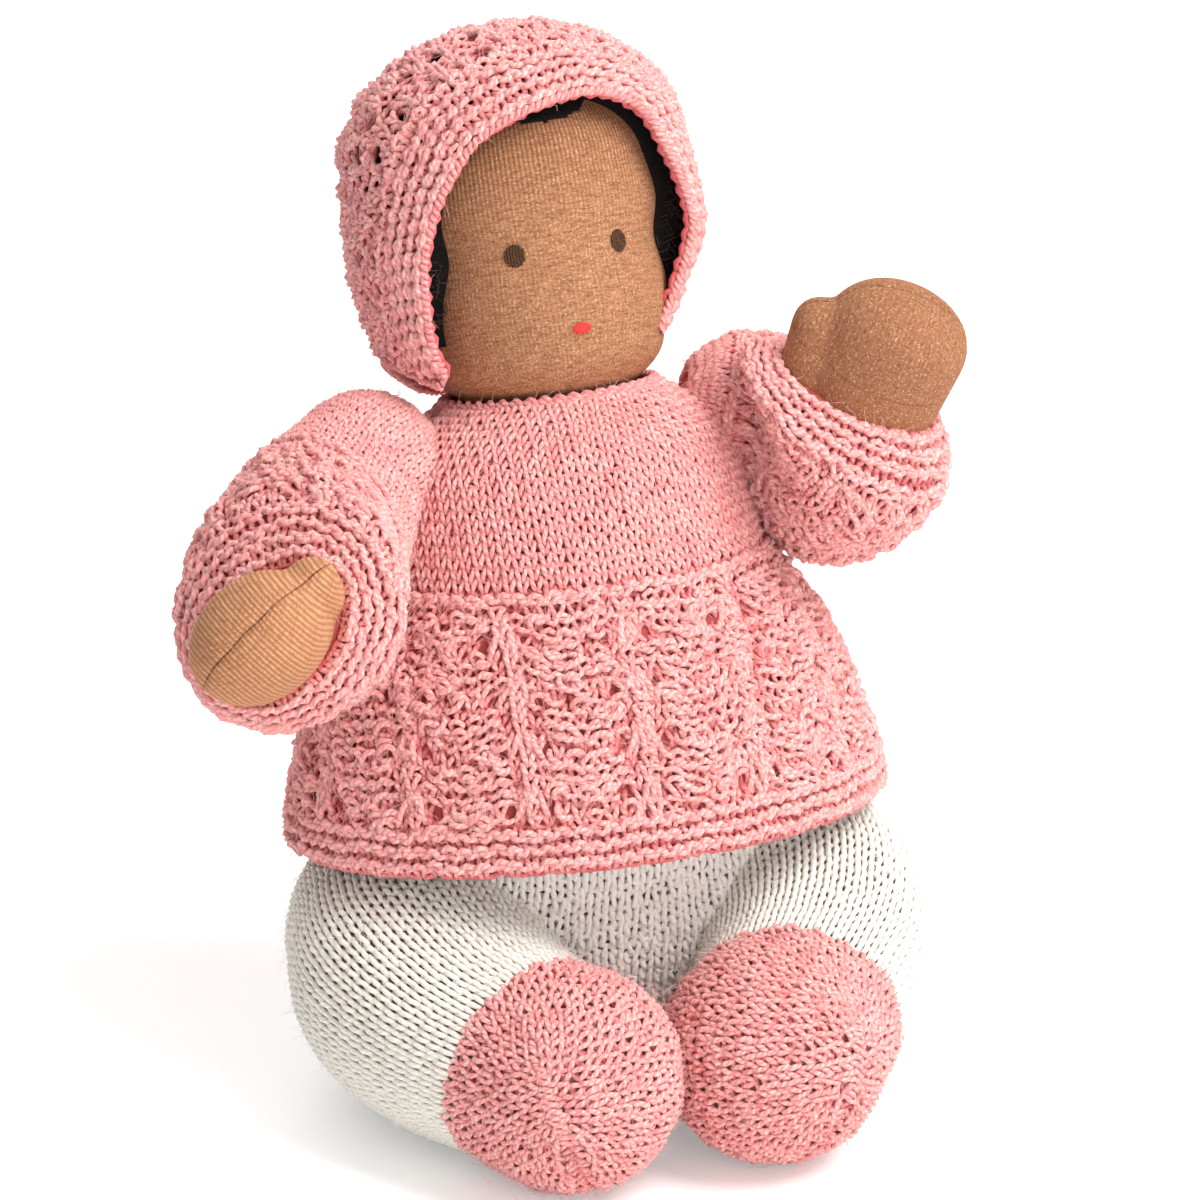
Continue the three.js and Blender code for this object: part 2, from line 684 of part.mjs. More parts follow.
// A lens of satin stitches lying in the face
function satinStitch({ across, drop, halfWidth, halfHeight }, grow) {
  const { point, normal } = facePoint(across, drop);
  const turn = new THREE.Matrix4().lookAt(normal, new THREE.Vector3(0, 0, 0), upward).setPosition(point);
  const lens = new THREE.SphereGeometry(1, lensSides, lensRings);
  return solid(lens.scale(halfWidth + grow, halfHeight + grow, stitchHalfDepth + grow), turn);
}

const eye = { drop: eyeDrop, halfWidth: eyeHalfWidth, halfHeight: eyeHalfHeight, floss: brownFloss };
const features = [
  { name: "right_eye", across: -eyeSpacing / 2, ...eye },
  { name: "left_eye", across: eyeSpacing / 2, ...eye },
  { name: "mouth", across: 0, drop: mouthDrop, halfWidth: mouthHalfWidth, halfHeight: mouthHalfHeight, floss: redFloss },
];

function neckPost(grow) {
  const profile = [[0, 0], [neckPostRadius + grow, 0], [neckPostRadius + grow, neckPostHeight + grow],
    [0, neckPostHeight + grow]].map(([radius, height]) => new THREE.Vector2(radius, height));
  return solid(new THREE.LatheGeometry(profile, limbSides).rotateX(Math.PI / 2));
}
const neckRoom = socket(atPivot, neckBallRadius + jointGap).add(neckPost(roomSpare));
const headBall = (inset, sides) => filled(headOutline, { inset, sides, rings: headRings });

let headSkin = headBall(0, bodySides).subtract(headBall(headSkinWall, innerBodySides)).subtract(neckRoom);
for (const feature of features) {
  place(feature.name, satinStitch(feature, 0), feature.floss, headGroup);
  headSkin = headSkin.subtract(satinStitch(feature, clothGap));
}
place("head_skin", headSkin, brownJersey, headGroup);
const stuffingLift = headSkinWall + clothGap;
const eyeLineRing = section(headOutline, headAlong(eyeLineDrop), stuffingLift + eyeLineThread / 2);
const headFill = headBall(stuffingLift, innerBodySides).subtract(threadRing(eyeLineRing, eyeLineThread + clothGap * 2));
place("head_stuffing", headFill.subtract(neckRoom), fleece, headGroup);
place("eye_line_thread", threadRing(eyeLineRing, eyeLineThread), linenThread, headGroup);

// Neck
const tieRing = {
  centre: new THREE.Vector3(0, 0, Math.sqrt(Math.pow(neckBallRadius, 2) - Math.pow(neckPostRadius, 2)) + tieThread),
  axis: upward,
  side: sideways,
  front: new THREE.Vector3().crossVectors(upward, sideways),
  wide: neckPostRadius - tieThread / 2,
  deep: neckPostRadius - tieThread / 2,
  pole: false,
};
const neckStem = ball(atPivot, neckBallRadius).add(neckPost(0));
place("neck_stem", neckStem.subtract(threadRing(tieRing, tieThread + clothGap * 2)), brownJersey, headGroup);
place("neck_tie", threadRing(tieRing, tieThread), linenThread, headGroup);

// Hair and bonnet
const bonnetOutline = softOutline(
  new THREE.LineCurve3(
    new THREE.Vector3(0, 0, headCentreHeight - bonnetDrop), new THREE.Vector3(0, 0, headCentreHeight + bonnetDomeRise),
  ),
  sideways,
  sized(bonnetShares, bonnetHalfWidth, bonnetHalfDepth),
  { endDome: bonnetDomeDepth },
);
const openingNormal = new THREE.Vector3(0, -1, 0).applyAxisAngle(sideways, radians(bonnetOpeningAngle));
const openingPoint = new THREE.Vector3(0, -bonnetOpeningForward, headCentreHeight);
const inFrontOf = (setback) => blockBeyond(openingPoint.clone().addScaledVector(openingNormal, -setback), openingNormal);

const bonnet = shell(bonnetOutline, {
  inset: 0, wall: bonnetWall, sides: bodySides, rings: bonnetRings, endHole: 0,
});
place("bonnet_crown", bonnet.subtract(inFrontOf(brimWidth)), pinkWool, headGroup);
const brim = bonnet.intersect(inFrontOf(brimWidth - clothGap)).subtract(inFrontOf(0));
place("bonnet_brim", brim, pinkWool, headGroup);
const belowHair = blockBeyond(new THREE.Vector3(0, 0, headCentreHeight - hairDrop), upward.clone().negate());
const underBonnet = filled(bonnetOutline, {
  inset: bonnetWall + clothGap, sides: bodySides, rings: bonnetRings, startHole: null,
});
const hairCap = underBonnet.subtract(headBall(-clothGap, bodySides)).subtract(inFrontOf(hairSetback));
place("hair_cap", hairCap.subtract(belowHair), blackMohair, headGroup);

export default doll;
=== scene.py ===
"""A seated cloth doll in hand-knitted clothes, dressed over its CAD frame.

Lengths in the classes are millimetres in the row frame; meshes are written in metres.
"""

import sys
import logging
import math
from dataclasses import dataclass, field
from enum import Enum
from typing import Callable, Optional, Protocol, Sequence

import bmesh
import bpy
import numpy as np
from mathutils import Matrix, Vector
from mathutils.bvhtree import BVHTree


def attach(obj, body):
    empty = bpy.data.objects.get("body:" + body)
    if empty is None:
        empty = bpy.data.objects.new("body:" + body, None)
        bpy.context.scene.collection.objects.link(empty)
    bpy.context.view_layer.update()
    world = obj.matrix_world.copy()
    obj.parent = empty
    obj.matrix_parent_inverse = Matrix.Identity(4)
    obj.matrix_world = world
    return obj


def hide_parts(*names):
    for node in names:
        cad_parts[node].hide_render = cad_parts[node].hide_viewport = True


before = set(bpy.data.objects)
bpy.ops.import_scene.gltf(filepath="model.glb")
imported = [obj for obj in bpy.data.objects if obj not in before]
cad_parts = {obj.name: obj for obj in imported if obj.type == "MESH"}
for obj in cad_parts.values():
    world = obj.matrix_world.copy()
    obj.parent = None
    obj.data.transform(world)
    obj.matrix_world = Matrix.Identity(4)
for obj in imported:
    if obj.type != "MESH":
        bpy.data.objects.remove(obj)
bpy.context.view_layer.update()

log = logging.getLogger("doll")

Array = np.ndarray
MM = 0.001
SIDEWAYS = np.array([1.0, 0.0, 0.0])
UPWARD = np.array([0.0, 0.0, 1.0])


# ---------------------------------------------------------------- geometry


def unit(vector: Array) -> Array:
    """The vector or vectors at length 1."""
    return vector / np.maximum(np.linalg.norm(vector, axis=-1, keepdims=True), 1e-12)


def turned(vector: Array, axis: Array, degrees: float) -> Array:
    """The vector turned about an axis through the origin."""
    return np.array(Matrix.Rotation(math.radians(degrees), 3, Vector(axis)) @ Vector(vector))


def risen(normal: Array) -> Array:
    """The direction square to sideways and to the normal that points up."""
    rise = unit(np.cross(SIDEWAYS, normal))
    return rise if rise[2] > 0 else -rise


def rng(seed: int) -> np.random.Generator:
    """A generator of repeatable random numbers."""
    return np.random.default_rng(seed)


class Spine:
    """A smooth line through points, read by its share of the length."""

    STEPS = 400

    def __init__(self, points: Sequence[Array]) -> None:
        """Samples the line.

        Args:
            points: the points that the line passes through, in order.
        """
        p = np.array(points, float)
        p = np.vstack([2 * p[0] - p[1], p, 2 * p[-1] - p[-2]])
        rows = []
        for k in range(len(p) - 3):
            rows.append(self._piece(p[k : k + 4], np.linspace(0, 1, self.STEPS, endpoint=False)))
        self.line = np.vstack([*rows, p[-2][None]])
        steps = np.linalg.norm(np.diff(self.line, axis=0), axis=1)
        self.far = np.concatenate([[0], np.cumsum(steps)])
        self.length = float(self.far[-1])

    @staticmethod
    def _piece(p: Array, t: Array) -> Array:
        """Points of the stretch between the middle two of four points.

        Args:
            p: four points.
            t: places from 0 to 1.

        Returns:
            One point for each place.
        """
        d0, d1, d2 = [max(np.linalg.norm(p[k + 1] - p[k]) ** 0.5, 1e-6) for k in range(3)]
        start = ((p[1] - p[0]) / d0 - (p[2] - p[0]) / (d0 + d1) + (p[2] - p[1]) / d1) * d1
        end = ((p[2] - p[1]) / d1 - (p[3] - p[1]) / (d1 + d2) + (p[3] - p[2]) / d2) * d1
        t = t[:, None]
        square = -3 * p[1] + 3 * p[2] - 2 * start - end
        cube = 2 * p[1] - 2 * p[2] + start + end
        return p[1] + t * (start + t * (square + t * cube))

    def at(self, share: Array) -> Array:
        """The points at shares of the length."""
        want = np.clip(np.asarray(share, float), 0, 1) * self.length
        return np.stack([np.interp(want, self.far, self.line[:, c]) for c in range(3)], axis=-1)

    def tangent(self, share: Array) -> Array:
        """The directions of the line at shares of the length."""
        share = np.asarray(share, float)
        return unit(self.at(np.minimum(share + 0.004, 1)) - self.at(np.maximum(share - 0.004, 0)))


def smooth_table(table: Sequence[Sequence[float]], along: Array, column: int) -> Array:
    """A table of sizes read smoothly.

    Args:
        table: rows that start with their place along.
        along: the places wanted.
        column: which size.

    Returns:
        The size at each place.
    """
    t = np.array(table, float)
    x, y = t[:, 0], t[:, column]
    low, high = np.maximum(np.arange(len(x)) - 1, 0), np.minimum(np.arange(len(x)) + 1, len(x) - 1)
    slope = (y[high] - y[low]) / (x[high] - x[low])
    k = np.clip(np.searchsorted(x, along) - 1, 0, len(x) - 2)
    span = x[k + 1] - x[k]
    s = (along - x[k]) / span
    rise = y[k + 1] - y[k]
    cube = (slope[k] + slope[k + 1]) * span - 2 * rise
    square = rise - slope[k] * span - cube
    return y[k] + s * (slope[k] * span + s * (square + s * cube))


@dataclass(frozen=True)
class Lean:
    """A place and a tilt about the sideways axis, in which a form is measured."""

    back: float = 0.0
    height: float = 0.0
    angle: float = 0.0

    def matrix(self) -> Matrix:
        """The lean as a matrix in millimetres."""
        return Matrix.Translation((0, self.back, self.height)) @ Matrix.Rotation(-math.radians(self.angle), 4, "X")

    def points(self, p: Array) -> Array:
        """Points of the leaning form in the row frame."""
        m = np.array(self.matrix())
        return p @ m[:3, :3].T + m[:3, 3]

    def directions(self, d: Array) -> Array:
        """Directions of the leaning form in the row frame."""
        return d @ np.array(self.matrix())[:3, :3].T

    def local(self, p: Array) -> Array:
        """Points of the row frame in the leaning form."""
        m = np.array(self.matrix().inverted())
        return p @ m[:3, :3].T + m[:3, 3]


@dataclass
class Outline:
    """A soft form: a spine, its half-sizes along it, and its round ends."""

    spine: Spine
    side: Array
    sizes: Sequence[Sequence[float]]
    start_dome: float = 0.0
    end_dome: float = 0.0
    start_blunt: float = 1.0
    end_blunt: float = 1.0
    start_flat: float = 1.0
    turn: Optional[tuple[Array, Array, float]] = None
    lean: Lean = field(default_factory=Lean)
    end_seam: float = 0.0


class Surface(Protocol):
    """Anything that knitting can be wrapped round."""

    length: float

    def points(self, along: Array, angle: Array) -> Array:
        """Points at distances along and angles round."""

    def ring(self, along: float, start: float, end: float) -> tuple[Array, Array]:
        """Angles from start to end of one course, and the length of cloth up to each."""


def ring_lengths(surface: Surface, along: float, start: float, end: float) -> tuple[Array, Array]:
    """Angles from start to end of a course, and the length of cloth up to each.

    Args:
        surface: the surface.
        along: where the course lies.
        start: the first angle.
        end: the last angle.

    Returns:
        The angles and the lengths.
    """
    angles = np.linspace(start, end, 181)
    p = surface.points(np.full(181, along), angles)
    steps = np.linalg.norm(np.diff(p, axis=0), axis=1)
    return angles, np.concatenate([[0], np.cumsum(steps)])


class OutlineSurface:
    """The surface of an outline, by distance along it and angle round it."""

    BODY, DOME = 48, 22

    def __init__(self, outline: Outline, inset: float = 0.0) -> None:
        """Lays out the stations of the surface.

        Args:
            outline: the form.
            inset: how far the surface lies inside it.
        """
        o = outline
        share = np.linspace(0, 1, self.BODY + 1)
        grow = [np.ones(self.BODY + 1)] * 2
        dome = np.zeros(self.BODY + 1)
        if o.start_dome:
            angle = np.linspace(0.02, 1, self.DOME, endpoint=False) * math.pi / 2
            grow = [np.concatenate([np.sin(angle) ** o.start_blunt, g]) for g in grow]
            share = np.concatenate([np.zeros(self.DOME), share])
            dome = np.concatenate([np.full(self.DOME, -(o.start_dome - inset)), dome])
        if o.end_dome:
            angle = np.linspace(1, 0.02, self.DOME + 1)[1:] * math.pi / 2
            spread = np.sin(angle) ** o.end_blunt
            deep = o.end_seam + (1 - o.end_seam) * spread
            grow = [np.concatenate([grow[0], spread]), np.concatenate([grow[1], deep])]
            share = np.concatenate([share, np.ones(self.DOME)])
            dome = np.concatenate([dome, np.full(self.DOME, o.end_dome - inset)])
        if o.turn is None:
            axis = o.spine.tangent(share)
        else:
            mix = np.minimum(share / o.turn[2], 1)[:, None]
            axis = unit(o.turn[0] * (1 - mix) + o.turn[1] * mix)
        side = unit(o.side - axis * (axis @ o.side)[:, None])
        front = np.cross(axis, side)
        lean = o.lean
        self.outline = o
        self.table = np.column_stack(
            [
                lean.points(o.spine.at(share)),
                lean.directions(side),
                lean.directions(front),
                lean.directions(axis),
                smooth_table(o.sizes, share, 1) - inset,
                smooth_table(o.sizes, share, 2) - inset,
                grow[0],
                grow[1],
                dome,
                share,
            ]
        )
        row = np.arange(len(share), dtype=float)
        self.far = np.zeros(len(share))
        self.far_of = np.arange(len(share), dtype=float)
        rings = [self._place(row, np.full(len(row), a)) for a in np.linspace(0, 2 * math.pi, 12, endpoint=False)]
        steps = np.mean([np.linalg.norm(np.diff(r, axis=0), axis=1) for r in rings], axis=0)
        self.far = np.concatenate([[0], np.cumsum(steps)])
        self.length = float(self.far[-1])

    def _place(self, row: Array, angle: Array) -> Array:
        """Points at places in the table of stations.

        Args:
            row: places in the table, not only whole ones.
            angle: angles round, 0 at the front direction.

        Returns:
            The points.
        """
        t = self.table
        k = np.clip(row.astype(int), 0, len(t) - 2)
        mix = (row - k)[:, None]
        v = t[k] * (1 - mix) + t[k + 1] * mix
        x, y = v[:, 14] * np.sin(angle), v[:, 15] * np.cos(angle)
        reach = np.minimum(np.sqrt(x * x + y * y), 1)
        low = v[:, 16] < 0
        blunt = np.where(low, self.outline.start_blunt, self.outline.end_blunt)
        flat = np.where(low, self.outline.start_flat, 1.0)
        rise = np.sqrt(np.maximum(1 - reach ** (2 / blunt), 0)) ** flat
        return (
            v[:, 0:3]
            + v[:, 3:6] * (x * v[:, 12])[:, None]
            + v[:, 6:9] * (y * v[:, 13])[:, None]
            + v[:, 9:12] * (v[:, 16] * rise)[:, None]
        )

    def points(self, along: Array, angle: Array) -> Array:
        """Points at distances along and angles round."""
        return self._place(np.interp(along, self.far, np.arange(len(self.far))), angle)

    def ring(self, along: float, start: float, end: float) -> tuple[Array, Array]:
        """Angles of one course and the length of cloth up to each."""
        return ring_lengths(self, along, start, end)

    def along_at(self, share: float) -> float:
        """The distance along at a share of the spine."""
        body = np.abs(self.table[:, 16]) < 1e-9
        return float(np.interp(share, self.table[body, 17], self.far[body]))

    def mesh(self, name: str, sides: int, rings: int) -> bpy.types.Object:
        """A smooth closed form of the surface, its open ends drawn in to a point.

        Args:
            name: the piece's name.
            sides: faces round it.
            rings: rings along it.

        Returns:
            The new object, at the origin.
        """
        bm = bmesh.new()
        bmesh.ops.create_uvsphere(bm, u_segments=sides, v_segments=rings, radius=1)
        co = np.array([v.co for v in bm.verts])
        level = np.degrees(np.arccos(np.clip(co[:, 2], -1, 1))) / 180
        angle = np.arctan2(co[:, 0], co[:, 1])
        place = self.points((1 - level) * self.length, angle)
        for end, at in ((level > 0.999, 0.0), (level < 0.001, self.length)):
            ring = self.points(np.full(16, at), np.linspace(0, 2 * math.pi, 16, endpoint=False))
            place[end] = ring.mean(axis=0)
        for vert, p in zip(bm.verts, place * MM):
            vert.co = p
        bmesh.ops.recalc_face_normals(bm, faces=bm.faces)
        return finished(bm, name)


def finished(bm: bmesh.types.BMesh, name: str) -> bpy.types.Object:
    """Turns a bmesh into a smooth-shaded object at the origin.

    Args:
        bm: the mesh, which is freed.
        name: the piece's name.

    Returns:
        The new object.
    """
    mesh = bpy.data.meshes.new(name)
    bm.to_mesh(mesh)
    bm.free()
    return placed(mesh, name)


def added(name: str, data: bpy.types.ID) -> bpy.types.Object:
    """A new object of some data, in the scene."""
    obj = bpy.data.objects.new(name, data)
    bpy.context.scene.collection.objects.link(obj)
    return obj


def placed(mesh: bpy.types.Mesh, name: str) -> bpy.types.Object:
    """An object of a mesh, smooth-shaded, in the scene."""
    mesh.shade_smooth()
    return added(name, mesh)


class Bulk:
    """The space inside a closed form, for finding what it hides."""

    def __init__(self, obj: bpy.types.Object) -> None:
        """Reads the form's mesh."""
        bm = bmesh.new()
        bm.from_mesh(obj.data)
        self.tree = BVHTree.FromBMesh(bm)
        bm.free()

    def depth(self, points: Array) -> Array:
        """How far points lie inside, in mm, negative outside."""
        out = np.zeros(len(points))
        for k, p in enumerate(points * MM):
            spot, normal, _, gap = self.tree.find_nearest(Vector(p))
            out[k] = math.copysign(gap, (spot - Vector(p)).dot(normal)) / MM
        return out


class BallSurface:
    """The skin of a closed form read from a pole, by distance from the far side and angle round."""

    SPREAD = 2.9

    def __init__(self, bulk: Bulk, centre: Array, pole: Array, seam: Array, reach: float, open_by: float) -> None:
        """Takes the form and how it is read.

        Args:
            bulk: the form.
            centre: a point inside it.
            pole: the direction in which the courses close.
            seam: the direction of the seam that they close on.
            reach: the form's mean radius.
            open_by: half the seam's length as a share of the radius.
        """
        self.bulk, self.centre, self.pole = bulk, centre, unit(pole)
        self.seam = unit(seam - self.pole * (seam @ self.pole))
        self.side = np.cross(self.pole, self.seam)
        self.reach, self.open_by = reach, open_by
        self.length = reach * self.SPREAD

    def points(self, along: Array, angle: Array) -> Array:
        """Points at distances along and angles round."""
        turn = np.clip((self.length - np.asarray(along, float)) / self.reach, 0, self.SPREAD)[:, None]
        angle = np.asarray(angle, float)[:, None]
        spread = np.sin(turn) + self.open_by * np.maximum(1 - np.sin(np.minimum(turn, math.pi / 2)), 0)
        way = self.pole * np.cos(turn) + self.side * np.sin(turn) * np.sin(angle) + self.seam * spread * np.cos(angle)
        start = Vector(self.centre * MM)
        hits = [self.bulk.tree.ray_cast(start, Vector(w))[0] for w in unit(way)]
        return np.array([h if h is not None else start for h in hits]) / MM

    def ring(self, along: float, start: float, end: float) -> tuple[Array, Array]:
        """Angles of one course and the length of cloth up to each."""
        return ring_lengths(self, along, start, end)


def apart(line: Array) -> Array:
    """Which points of a line lie away from the one before and from the first."""
    keep = np.linalg.norm(line - np.roll(line, 1, axis=0), axis=1) > 1e-3
    keep[0] = True
    return keep


@dataclass
class Laid:
    """Threads laid on a surface: their centre lines and how they lie at each point."""

    lines: list[Array] = field(default_factory=list)
    loops: list[bool] = field(default_factory=list)
    outs: list[Array] = field(default_factory=list)
    lifts: list[Array] = field(default_factory=list)

    def add(self, line: Array, loop: bool, out: Array, lift: Array) -> None:
        """Adds a thread, less its doubled points, unless nothing is left of it."""
        keep = apart(line)
        if keep.sum() > 1:
            self.lines.append(line[keep])
            self.loops.append(loop)
            self.outs.append(out[keep])
            self.lifts.append(lift[keep])

    def size(self) -> int:
        """How many points the threads have."""
        return sum(len(line) for line in self.lines)


def bare(lines: Sequence[Array], loops: bool = False, lift: float = 0.6) -> Laid:
    """Threads that lie on nothing, all equally far out."""
    laid = Laid()
    for line in lines:
        laid.add(line, loops, np.zeros((len(line), 3)), np.full(len(line), lift))
    return laid


def strands(name: str, laid: Laid, radius: float, level: int = 1, taper: float = 1.0) -> bpy.types.Object:
    """Round threads swept along lines, as one mesh.

    Args:
        name: the piece's name.
        laid: the threads.
        radius: the thread's radius in mm.
        level: roundness, 0 for four sides and 1 for six.
        taper: the radius at the far end, as a share.

    Returns:
        The new object, whose points carry where they are round and along their thread, and how far out.
    """
    data = bpy.data.curves.new(name, "CURVE")
    data.dimensions = "3D"
    data.bevel_depth = radius * MM
    data.bevel_resolution = level
    for line, loop in zip(laid.lines, laid.loops):
        spline = data.splines.new("POLY")
        spline.points.add(len(line) - 1)
        co = np.ones((len(line), 4))
        co[:, :3] = line * MM
        spline.points.foreach_set("co", co.ravel())
        spline.use_cyclic_u = bool(loop)
        if taper != 1:
            spline.points.foreach_set("radius", np.linspace(1, taper, len(line)))
    guide = added(name, data)
    mesh = bpy.data.meshes.new_from_object(guide)
    bpy.data.objects.remove(guide)
    bpy.data.curves.remove(data)
    sides = 4 + 2 * level
    round_it = np.arange(sides) / sides * 2 * math.pi
    marks = []
    start = 0.0
    for line in laid.lines:
        far = start + np.concatenate([[0], np.cumsum(np.linalg.norm(np.diff(line, axis=0), axis=1))])
        start += 17.3
        mark = np.zeros((len(line), sides, 3))
        mark[:, :, 0], mark[:, :, 1] = np.cos(round_it), np.sin(round_it)
        mark[:, :, 2] = far[:, None]
        marks.append(mark.reshape(-1, 3))
    strand = mesh.attributes.new("strand", "FLOAT_VECTOR", "POINT")
    strand.data.foreach_set("vector", np.vstack(marks).astype(np.float32).ravel())
    co = np.zeros(len(mesh.vertices) * 3, np.float32)
    mesh.vertices.foreach_get("co", co)
    away = co.reshape(-1, sides, 3) / MM - np.vstack(laid.lines)[:, None]
    # The rise, how far out each point of the yarn lies, is what the yarn's painted shade is read from.
    rise = np.sum(away * np.vstack(laid.outs)[:, None], axis=2) + np.concatenate(laid.lifts)[:, None]
    depth = mesh.attributes.new("rise", "FLOAT", "POINT")
    depth.data.foreach_set("value", rise.astype(np.float32).ravel())
    return placed(mesh, name)


# ---------------------------------------------------------------- knitting


class Fabric(Enum):
    """How a stretch of knitting is worked."""

    STOCKINETTE = "stockinette"
    GARTER = "garter"
    LACE = "lace"
    CROWN = "crown"


@dataclass(frozen=True)
class Gauge:
    """The size of one stitch and of its yarn."""

    width: float = 3.6
    height: float = 2.7
    reach: float = 2.2
    lean: float = 1.1
    relief: float = 0.85
    yarn: float = 0.74
    wobble: float = 0.16


PLAIN_GAUGE = Gauge()
GARTER_GAUGE = Gauge(width=4.4, height=2.1, reach=1.9, lean=1.1, relief=1.5, yarn=0.92, wobble=0.26)
LACE_GAUGE = Gauge(width=4.1, height=3.0, reach=2.4, lean=1.3, wobble=0.36, relief=0.95, yarn=0.86)
CREAM_GAUGE = Gauge(width=4.5, height=3.1, reach=2.3, lean=0.8, relief=0.6, yarn=0.84, wobble=0.1)
FOOT_GAUGE = Gauge(width=3.9, height=2.9, reach=2.3, lean=1.2, relief=0.9, yarn=0.82, wobble=0.3)
SEAT_GAUGE = Gauge(width=4.2, height=2.7, reach=2.1, lean=1.0, relief=0.6, yarn=0.95, wobble=0.3)


@dataclass
class Knit:
    """Knitting wrapped round a surface, laid as its yarn."""

    surface: Surface
    start: float
    end: float
    gauge: Gauge
    fabric: Fabric
    panels: Sequence[tuple[float, float]]
    columns: Optional[int] = None
    seed: int = 1
    hidden: Optional[Callable[[Array], Array]] = None
    eyelets: bool = True

    STEPS = 8
    REPEAT = 8
    MOST_REPEATS = 12
    EYELET_ROWS = 5
    OPENNESS = {Fabric.LACE: 1.5, Fabric.CROWN: 3.0}

    def rows(self) -> Array:
        """Where the courses lie along the surface."""
        count = max(1, round((self.end - self.start) / self.gauge.height))
        step = (self.end - self.start) / count
        return self.start + (np.arange(count) + 0.5) * step

    def faces(self, row: int, column: Array) -> tuple[Array, Array]:
        """Which stitches of a row show their front, and how far they stand out.

        Args:
            row: the course's number.
            column: the stitches' numbers from the middle.

        Returns:
            1 for knit or -1 for purl, and the lift in mm.
        """
        front = np.ones(len(column))
        lift = np.zeros(len(column))
        noise = rng(self.seed * 977 + row).random(len(column))
        if self.fabric is Fabric.GARTER:
            front[:] = -1 if row % 2 else 1
        elif self.fabric is Fabric.LACE:
            off = np.abs((column + self.REPEAT // 2) % self.REPEAT - self.REPEAT // 2)
            ridge = (row % self.EYELET_ROWS in (3, 4)) & (off > 1) | (noise > 0.82)
            front = np.where(ridge, -1.0, 1.0)
            lift = np.where(off == 0, 0.6, np.where(ridge, 0.5, -0.6)) + (noise - 0.5) * 0.7
        elif self.fabric is Fabric.CROWN:
            front = np.where(noise > 0.45, 1.0, -1.0)
            lift = (noise - 0.5) * 1.1
        return front, lift

    def repeats(self) -> list[float]:
        """The middles of the lace's repeats across the flat fabric."""
        w = self.gauge.width
        return [k * self.REPEAT * w + w * 0.5 for k in range(-self.MOST_REPEATS, self.MOST_REPEATS + 1)]

    def holes(self, rows: Array, half: float) -> Array:
        """Centres of the eyelets on the flat fabric.

        Args:
            rows: where the courses lie.
            half: half the widest course.

        Returns:
            Rows of distance across and distance along.
        """
        w = self.gauge.width
        spots = []
        if not self.eyelets:
            return np.zeros((0, 2))
        if self.fabric is Fabric.LACE:
            for row in range(1, len(rows), self.EYELET_ROWS):
                for centre in self.repeats():
                    spots += [(centre - 1.45 * w, rows[row]), (centre + 1.45 * w, rows[row])]
        elif self.fabric is Fabric.CROWN:
            r = rng(self.seed * 41)
            for row in range(1, len(rows), 4):
                for k in range(-16, 17):
                    stray = r.normal(0, 1.7, 2)
                    if r.random() < 0.82:
                        spots.append(((k + 0.5 * ((row // 4) % 2)) * 3.1 * w + stray[0], rows[row] + stray[1]))
        return np.array([s for s in spots if abs(s[0]) < half]).reshape(-1, 2)

    def drift(self, spot: Array) -> Array:
        """How far hand knitting strays from true at points of the flat fabric, in mm."""
        x, y = spot[:, 0], spot[:, 1]
        size = 2.0 * self.gauge.wobble
        turn = self.seed * 1.7
        up = np.sin(0.33 * x + 0.12 * y + turn) + 0.8 * np.sin(0.15 * x - 0.24 * y + 2 * turn)
        wide = np.sin(0.22 * y + 0.09 * x + 3 * turn)
        return np.column_stack([wide, up]) * size * 0.5

    def sway(self, across: Array, along: Array) -> Array:
        """How far the courses of the lace wave up and down, in mm."""
        if self.fabric is not Fabric.LACE:
            return np.zeros(len(across))
        edge = np.clip(np.minimum(along - self.start, self.end - along) / 7, 0, 1)
        turns = (across - self.gauge.width * 0.5) / (self.REPEAT * self.gauge.width)
        return 1.5 * edge * np.cos(2 * math.pi * turns)

    def feathers(self, rows: Array, half: float) -> list[tuple[float, Array, Array]]:
        """The long drawn-out stitches that spread from the ribs of the lace.

        Args:
            rows: where the courses lie.
            half: half the widest course.

        Returns:
            For each, its row's place along, its points on the flat fabric and how far they stand out.
        """
        if self.fabric is not Fabric.LACE:
            return []
        w = self.gauge.width
        r = rng(self.seed * 53)
        made = []
        t = np.linspace(0, 1, 9)
        for row in range(1, len(rows), self.EYELET_ROWS):
            for centre in self.repeats():
                if abs(centre) > half - 5:
                    continue
                for sign in (-1, 1):
                    for k in range(2):
                        jog = r.normal(0, 0.8, 4)
                        x = centre + sign * (0.7 + 0.9 * k + (1.1 + 1.0 * k) * t ** 1.3) + jog[0] + jog[1] * t
                        y = rows[row] + 4.6 - 1.8 * k - t * (6.0 + jog[2])
                        z = (1.6 + 0.35 * jog[3]) * np.sin(math.pi * t) - 0.2
                        made.append((rows[row], np.column_stack([x, y]), z))
                for _ in range(9):
                    x0 = centre + r.uniform(0.16, 0.84) * self.REPEAT * w
                    y0 = rows[row] + r.uniform(-6, 7)
                    size, turn = r.uniform(1.4, 2.5), r.uniform(-0.9, 0.9)
                    arc = np.linspace(-0.2, math.pi + 0.2, 9)
                    x, y = size * 1.25 * np.cos(arc), size * np.sin(arc) * r.choice([-1, 1])
                    spot = np.column_stack([x0 + x * math.cos(turn) - y * math.sin(turn),
                                            y0 + x * math.sin(turn) + y * math.cos(turn)])
                    made.append((rows[row], spot, 2.1 * np.sin(math.pi * t) - 0.1))
        return made

